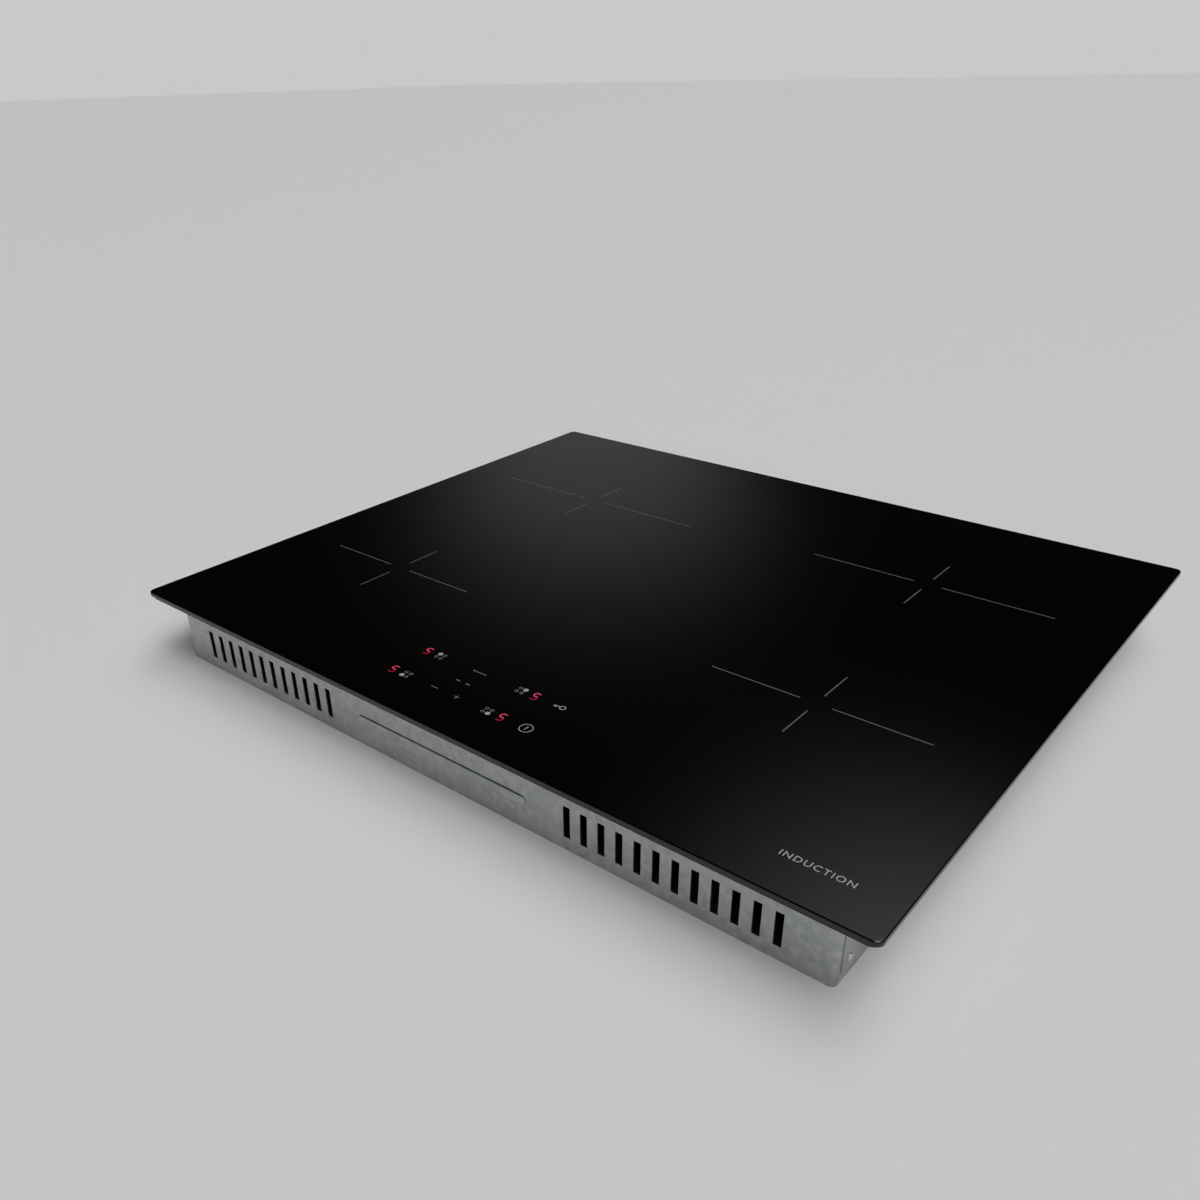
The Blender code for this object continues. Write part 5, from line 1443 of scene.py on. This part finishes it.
class COOKTOP_OT_touch_board(bpy.types.Operator):
    """Populates the touch board with its chips and one contact spring under each key"""

    bl_idname = "cooktop.touch_board"
    bl_label = "Touch board"

    def execute(self, context):
        low, high = box("touch_board")
        top = low.z + BOARD
        bm = bmesh.new()
        add_board(bm, low, (high.x, high.y, top))
        finished("touch_control_board", bm, "mask tin", replaces=["touch_board"])
        springs = bmesh.new()
        turns, wire, radius = 5, 0.5 * MM, 3.9 * MM
        climb = (high.z - top - 2 * wire) / turns
        keys = [(sx * KEY_X, sy) for sx in (-1, 1) for sy in (-1, 1)]
        keys += [(-SETTER_X, -1), (SETTER_X, -1), (0, 1), (LOCK_X, -1), (LOCK_X, 1)]
        for x, row in keys:
            centre = (PANEL_X + x, PANEL_Y + row * ROW, top + wire)
            add_coil(springs, centre, radius, wire, turns, 24, 6, climb=climb)
        finished("touch_key_springs", springs, "plated", smooth=60)
        chips = bmesh.new()
        add_chip(chips, PANEL_X + 22 * MM, PANEL_Y, top, 14 * MM, 9 * MM, 1.8 * MM, 0, 1, 10)
        add_chip(chips, PANEL_X - 22 * MM, PANEL_Y, top, 9 * MM, 5 * MM, 1.6 * MM, 0, 1, 7)
        add_small_parts(chips, PANEL_X + 57 * MM, PANEL_Y - 5 * MM, top, 4, 4, 3 * MM, 0, 1)
        finished("touch_board_chips", chips, "epoxy tin")
        return {"FINISHED"}


# ---------------------------------------------------------------- wiring
class COOKTOP_OT_loom(bpy.types.Operator):
    """Lays the five insulated wires from the terminal block to the filter board"""

    bl_idname = "cooktop.loom"
    bl_label = "Supply loom"

    def execute(self, context):
        low, high = box("supply_loom")
        radius, wire, steps, twists = 3.2 * MM, 1.15 * MM, 28, 1.2
        x = (low.x + high.x) / 2
        rear, front = high.y, low.y
        first, last = high.z - radius, low.z + radius
        if middle("filter_board").z > first:
            first, last = last, first
        bm = bmesh.new()
        for index in range(5):
            run = []
            for step in range(steps + 1):
                share = step / steps
                ease = share * share * (3 - 2 * share)
                angle = 2 * math.pi * (index / 5 + twists * share)
                across = Vector((math.cos(angle), 0, math.sin(angle))) * (radius - wire)
                along = Vector((x, rear + (front - rear) * share, first + (last - first) * ease))
                run.append(along + across)
            add_tube(bm, run, wire, 10, index)
        finished(
            "twisted_supply_wires", bm, "wire_brown wire_black wire_grey wire_blue wire_green",
            replaces=["supply_loom"], smooth=50,
        )
        return {"FINISHED"}


# ---------------------------------------------------------------- finishes of the frame's own pieces
class COOKTOP_OT_finishes(bpy.types.Operator):
    """Gives each piece of the frame that keeps its shape its finish"""

    bl_idname = "cooktop.finishes"
    bl_label = "Frame finishes"

    def execute(self, context):
        for key, nodes in DRESSED.items():
            for node in nodes.split():
                for slot in frame["nodes"][node].material_slots:
                    slot.material = finish(key)
        return {"FINISHED"}


# ---------------------------------------------------------------- stage
# Soft lights in the studio's sky. Each lies on a flat ceiling one unit above the glass: its middle,
# its half length and half width, its turn in degrees, its brightness and how hard its edge is.
SOFT_LIGHTS = (
    ((-1.909, 2.369), (1.007, 0.423), -50.3, 0.21, 3.0),
    ((0.222, 0.305), (0.832, 0.366), -55.0, 2.61, 2.6),
)
HORIZON = 0.02  # directions lower than this are lit as this one is
BAND = (0.08, 0.24)  # the height, as the direction's Z, at which the pale band starts to fade and is gone
BAND_LIGHT, ROOM_LIGHT = 0.55, 0.009
BACKDROP = 0.58  # what the camera itself sees behind the floor
SUN_POWER, SUN_WIDTH, SUN_TURN = 1.3, 40, (32, 0, 60)  # the angles are in degrees
SHIFT = (0.03333, 0.0775)  # how far the lens is moved off its middle, in frame widths


class COOKTOP_OT_stage(bpy.types.Operator):
    """Lays the floor, lights the studio and sets the camera"""

    bl_idname = "cooktop.stage"
    bl_label = "Studio"

    def execute(self, context):
        self.lay_floor()
        self.light_sky(context.scene)
        self.hang_sun(context.scene)
        self.set_camera(context.scene)
        context.scene.view_settings.view_transform = "Standard"
        return {"FINISHED"}

    def lay_floor(self):
        """A floor that runs to the horizon."""
        bm = bmesh.new()
        bmesh.ops.create_grid(bm, x_segments=1, y_segments=1, size=30.0)
        mesh = bpy.data.meshes.new("studio_floor")
        bm.to_mesh(mesh)
        bm.free()
        mesh.materials.append(studio_floor())
        floor = bpy.data.objects.new("studio_floor", mesh)
        bpy.context.scene.collection.objects.link(floor)

    def light_sky(self, scene):
        """The sky that the glass mirrors: soft lights overhead and a pale band along the horizon."""
        world = bpy.data.worlds.new("studio")
        scene.world = world
        world.use_nodes = True
        tree = world.node_tree
        shine = tree.nodes["Background"]
        way = add_node(tree, "ShaderNodeTexCoord").outputs["Generated"]
        parts = add_node(tree, "ShaderNodeSeparateXYZ", links={"Vector": way})
        lift = add_node(tree, "ShaderNodeMath", {1: HORIZON}, {0: parts.outputs["Z"]}, operation="MAXIMUM")
        lift = lift.outputs[0]
        spread = add_node(tree, "ShaderNodeCombineXYZ", {"Z": 1.0}, {"X": lift, "Y": lift})
        ceiling = add_node(
            tree, "ShaderNodeVectorMath", links={0: way, 1: spread.outputs[0]}, operation="DIVIDE",
        )
        total = None
        for centre, half, turn, bright, edge in SOFT_LIGHTS:
            flat = add_node(
                tree, "ShaderNodeVectorMath", {1: (1.0, 1.0, 0.0)}, {0: ceiling.outputs[0]},
                operation="MULTIPLY",
            )
            local = add_node(
                tree, "ShaderNodeMapping",
                {"Location": (*centre, 0.0), "Rotation": (0, 0, math.radians(turn)), "Scale": (*half, 1.0)},
                {"Vector": flat.outputs[0]}, vector_type="TEXTURE",
            )
            reach = add_node(tree, "ShaderNodeVectorMath", links={0: local.outputs[0]}, operation="LENGTH")
            reach = reach.outputs["Value"]
            power = add_node(tree, "ShaderNodeMath", {1: edge}, {0: reach}, operation="POWER")
            # One over e to that power: the light fades smoothly past its edge.
            fade = add_node(
                tree, "ShaderNodeMath", {0: math.exp(-1.0)}, {1: power.outputs[0]}, operation="POWER",
            )
            light = add_node(tree, "ShaderNodeMath", {1: bright}, {0: fade.outputs[0]}, operation="MULTIPLY")
            if total:
                both = {0: total.outputs[0], 1: light.outputs[0]}
                light = add_node(tree, "ShaderNodeMath", links=both, operation="ADD")
            total = light
        band = add_node(
            tree, "ShaderNodeMapRange",
            {"From Min": BAND[0], "From Max": BAND[1], "To Min": BAND_LIGHT, "To Max": ROOM_LIGHT},
            {"Value": parts.outputs["Z"]}, interpolation_type="SMOOTHSTEP",
        )
        both = {0: total.outputs[0], 1: band.outputs[0]}
        sky = add_node(tree, "ShaderNodeMath", links=both, operation="ADD")
        seen = add_node(tree, "ShaderNodeLightPath").outputs["Is Camera Ray"]
        mixed = add_node(tree, "ShaderNodeMix", {"B": BACKDROP}, {"Factor": seen}, data_type="FLOAT")
        tree.links.new(sky.outputs[0], mixed.inputs["A"])
        tree.links.new(mixed.outputs[0], shine.inputs["Color"])

    def hang_sun(self, scene):
        """A wide, soft key light from above and behind the camera."""
        lamp = bpy.data.lights.new("key", "SUN")
        lamp.energy = SUN_POWER
        lamp.angle = math.radians(SUN_WIDTH)
        key = bpy.data.objects.new("key", lamp)
        key.rotation_euler = [math.radians(angle) for angle in SUN_TURN]
        scene.collection.objects.link(key)

    def set_camera(self, scene):
        settings = scene.cooktop_stage
        lens = bpy.data.cameras.new("camera")
        lens.sensor_width = 36
        lens.lens = settings.lens
        lens.shift_x, lens.shift_y = SHIFT
        lens.clip_start, lens.clip_end = 0.01, 100
        camera = bpy.data.objects.new("camera", lens)
        camera.location = settings.camera_place
        camera.rotation_euler = settings.camera_turn
        scene.collection.objects.link(camera)
        scene.camera = camera


# ---------------------------------------------------------------- panel and registration
OPERATORS = (
    COOKTOP_OT_glass, COOKTOP_OT_zone_marks, COOKTOP_OT_controls, COOKTOP_OT_word_mark, COOKTOP_OT_casing,
    COOKTOP_OT_screws, COOKTOP_OT_clips, COOKTOP_OT_terminal, COOKTOP_OT_coils, COOKTOP_OT_blowers,
    COOKTOP_OT_power_boards, COOKTOP_OT_filter_board, COOKTOP_OT_touch_board, COOKTOP_OT_loom,
    COOKTOP_OT_finishes, COOKTOP_OT_stage,
)
SETTINGS = {
    "cooktop_glass": CooktopGlass, "cooktop_print": CooktopPrint, "cooktop_display": CooktopDisplay,
    "cooktop_casing": CooktopCasing, "cooktop_inside": CooktopInside, "cooktop_stage": CooktopStage,
}


class COOKTOP_PT_panel(bpy.types.Panel):
    """Lists the cooktop's settings and builders"""

    bl_idname = "COOKTOP_PT_panel"
    bl_label = "Induction Cooktop"
    bl_space_type = "VIEW_3D"
    bl_region_type = "UI"
    bl_category = "Cooktop"

    def draw(self, context):
        for name, group in SETTINGS.items():
            rows = self.layout.box()
            for key in group.__annotations__:
                rows.prop(getattr(context.scene, name), key)
        for operator in OPERATORS:
            self.layout.operator(operator.bl_idname)


def register():
    for group in (*SETTINGS.values(), *OPERATORS, COOKTOP_PT_panel):
        bpy.utils.register_class(group)
    for name, group in SETTINGS.items():
        setattr(bpy.types.Scene, name, PointerProperty(type=group))


def unregister():
    for name in SETTINGS:
        delattr(bpy.types.Scene, name)
    for group in (COOKTOP_PT_panel, *OPERATORS[::-1], *list(SETTINGS.values())[::-1]):
        bpy.utils.unregister_class(group)


def main():
    register()
    for operator in OPERATORS:
        family, name = operator.bl_idname.split(".")
        getattr(getattr(bpy.ops, family), name)()
    bpy.context.view_layer.update()


if __name__ == "__main__":
    main()
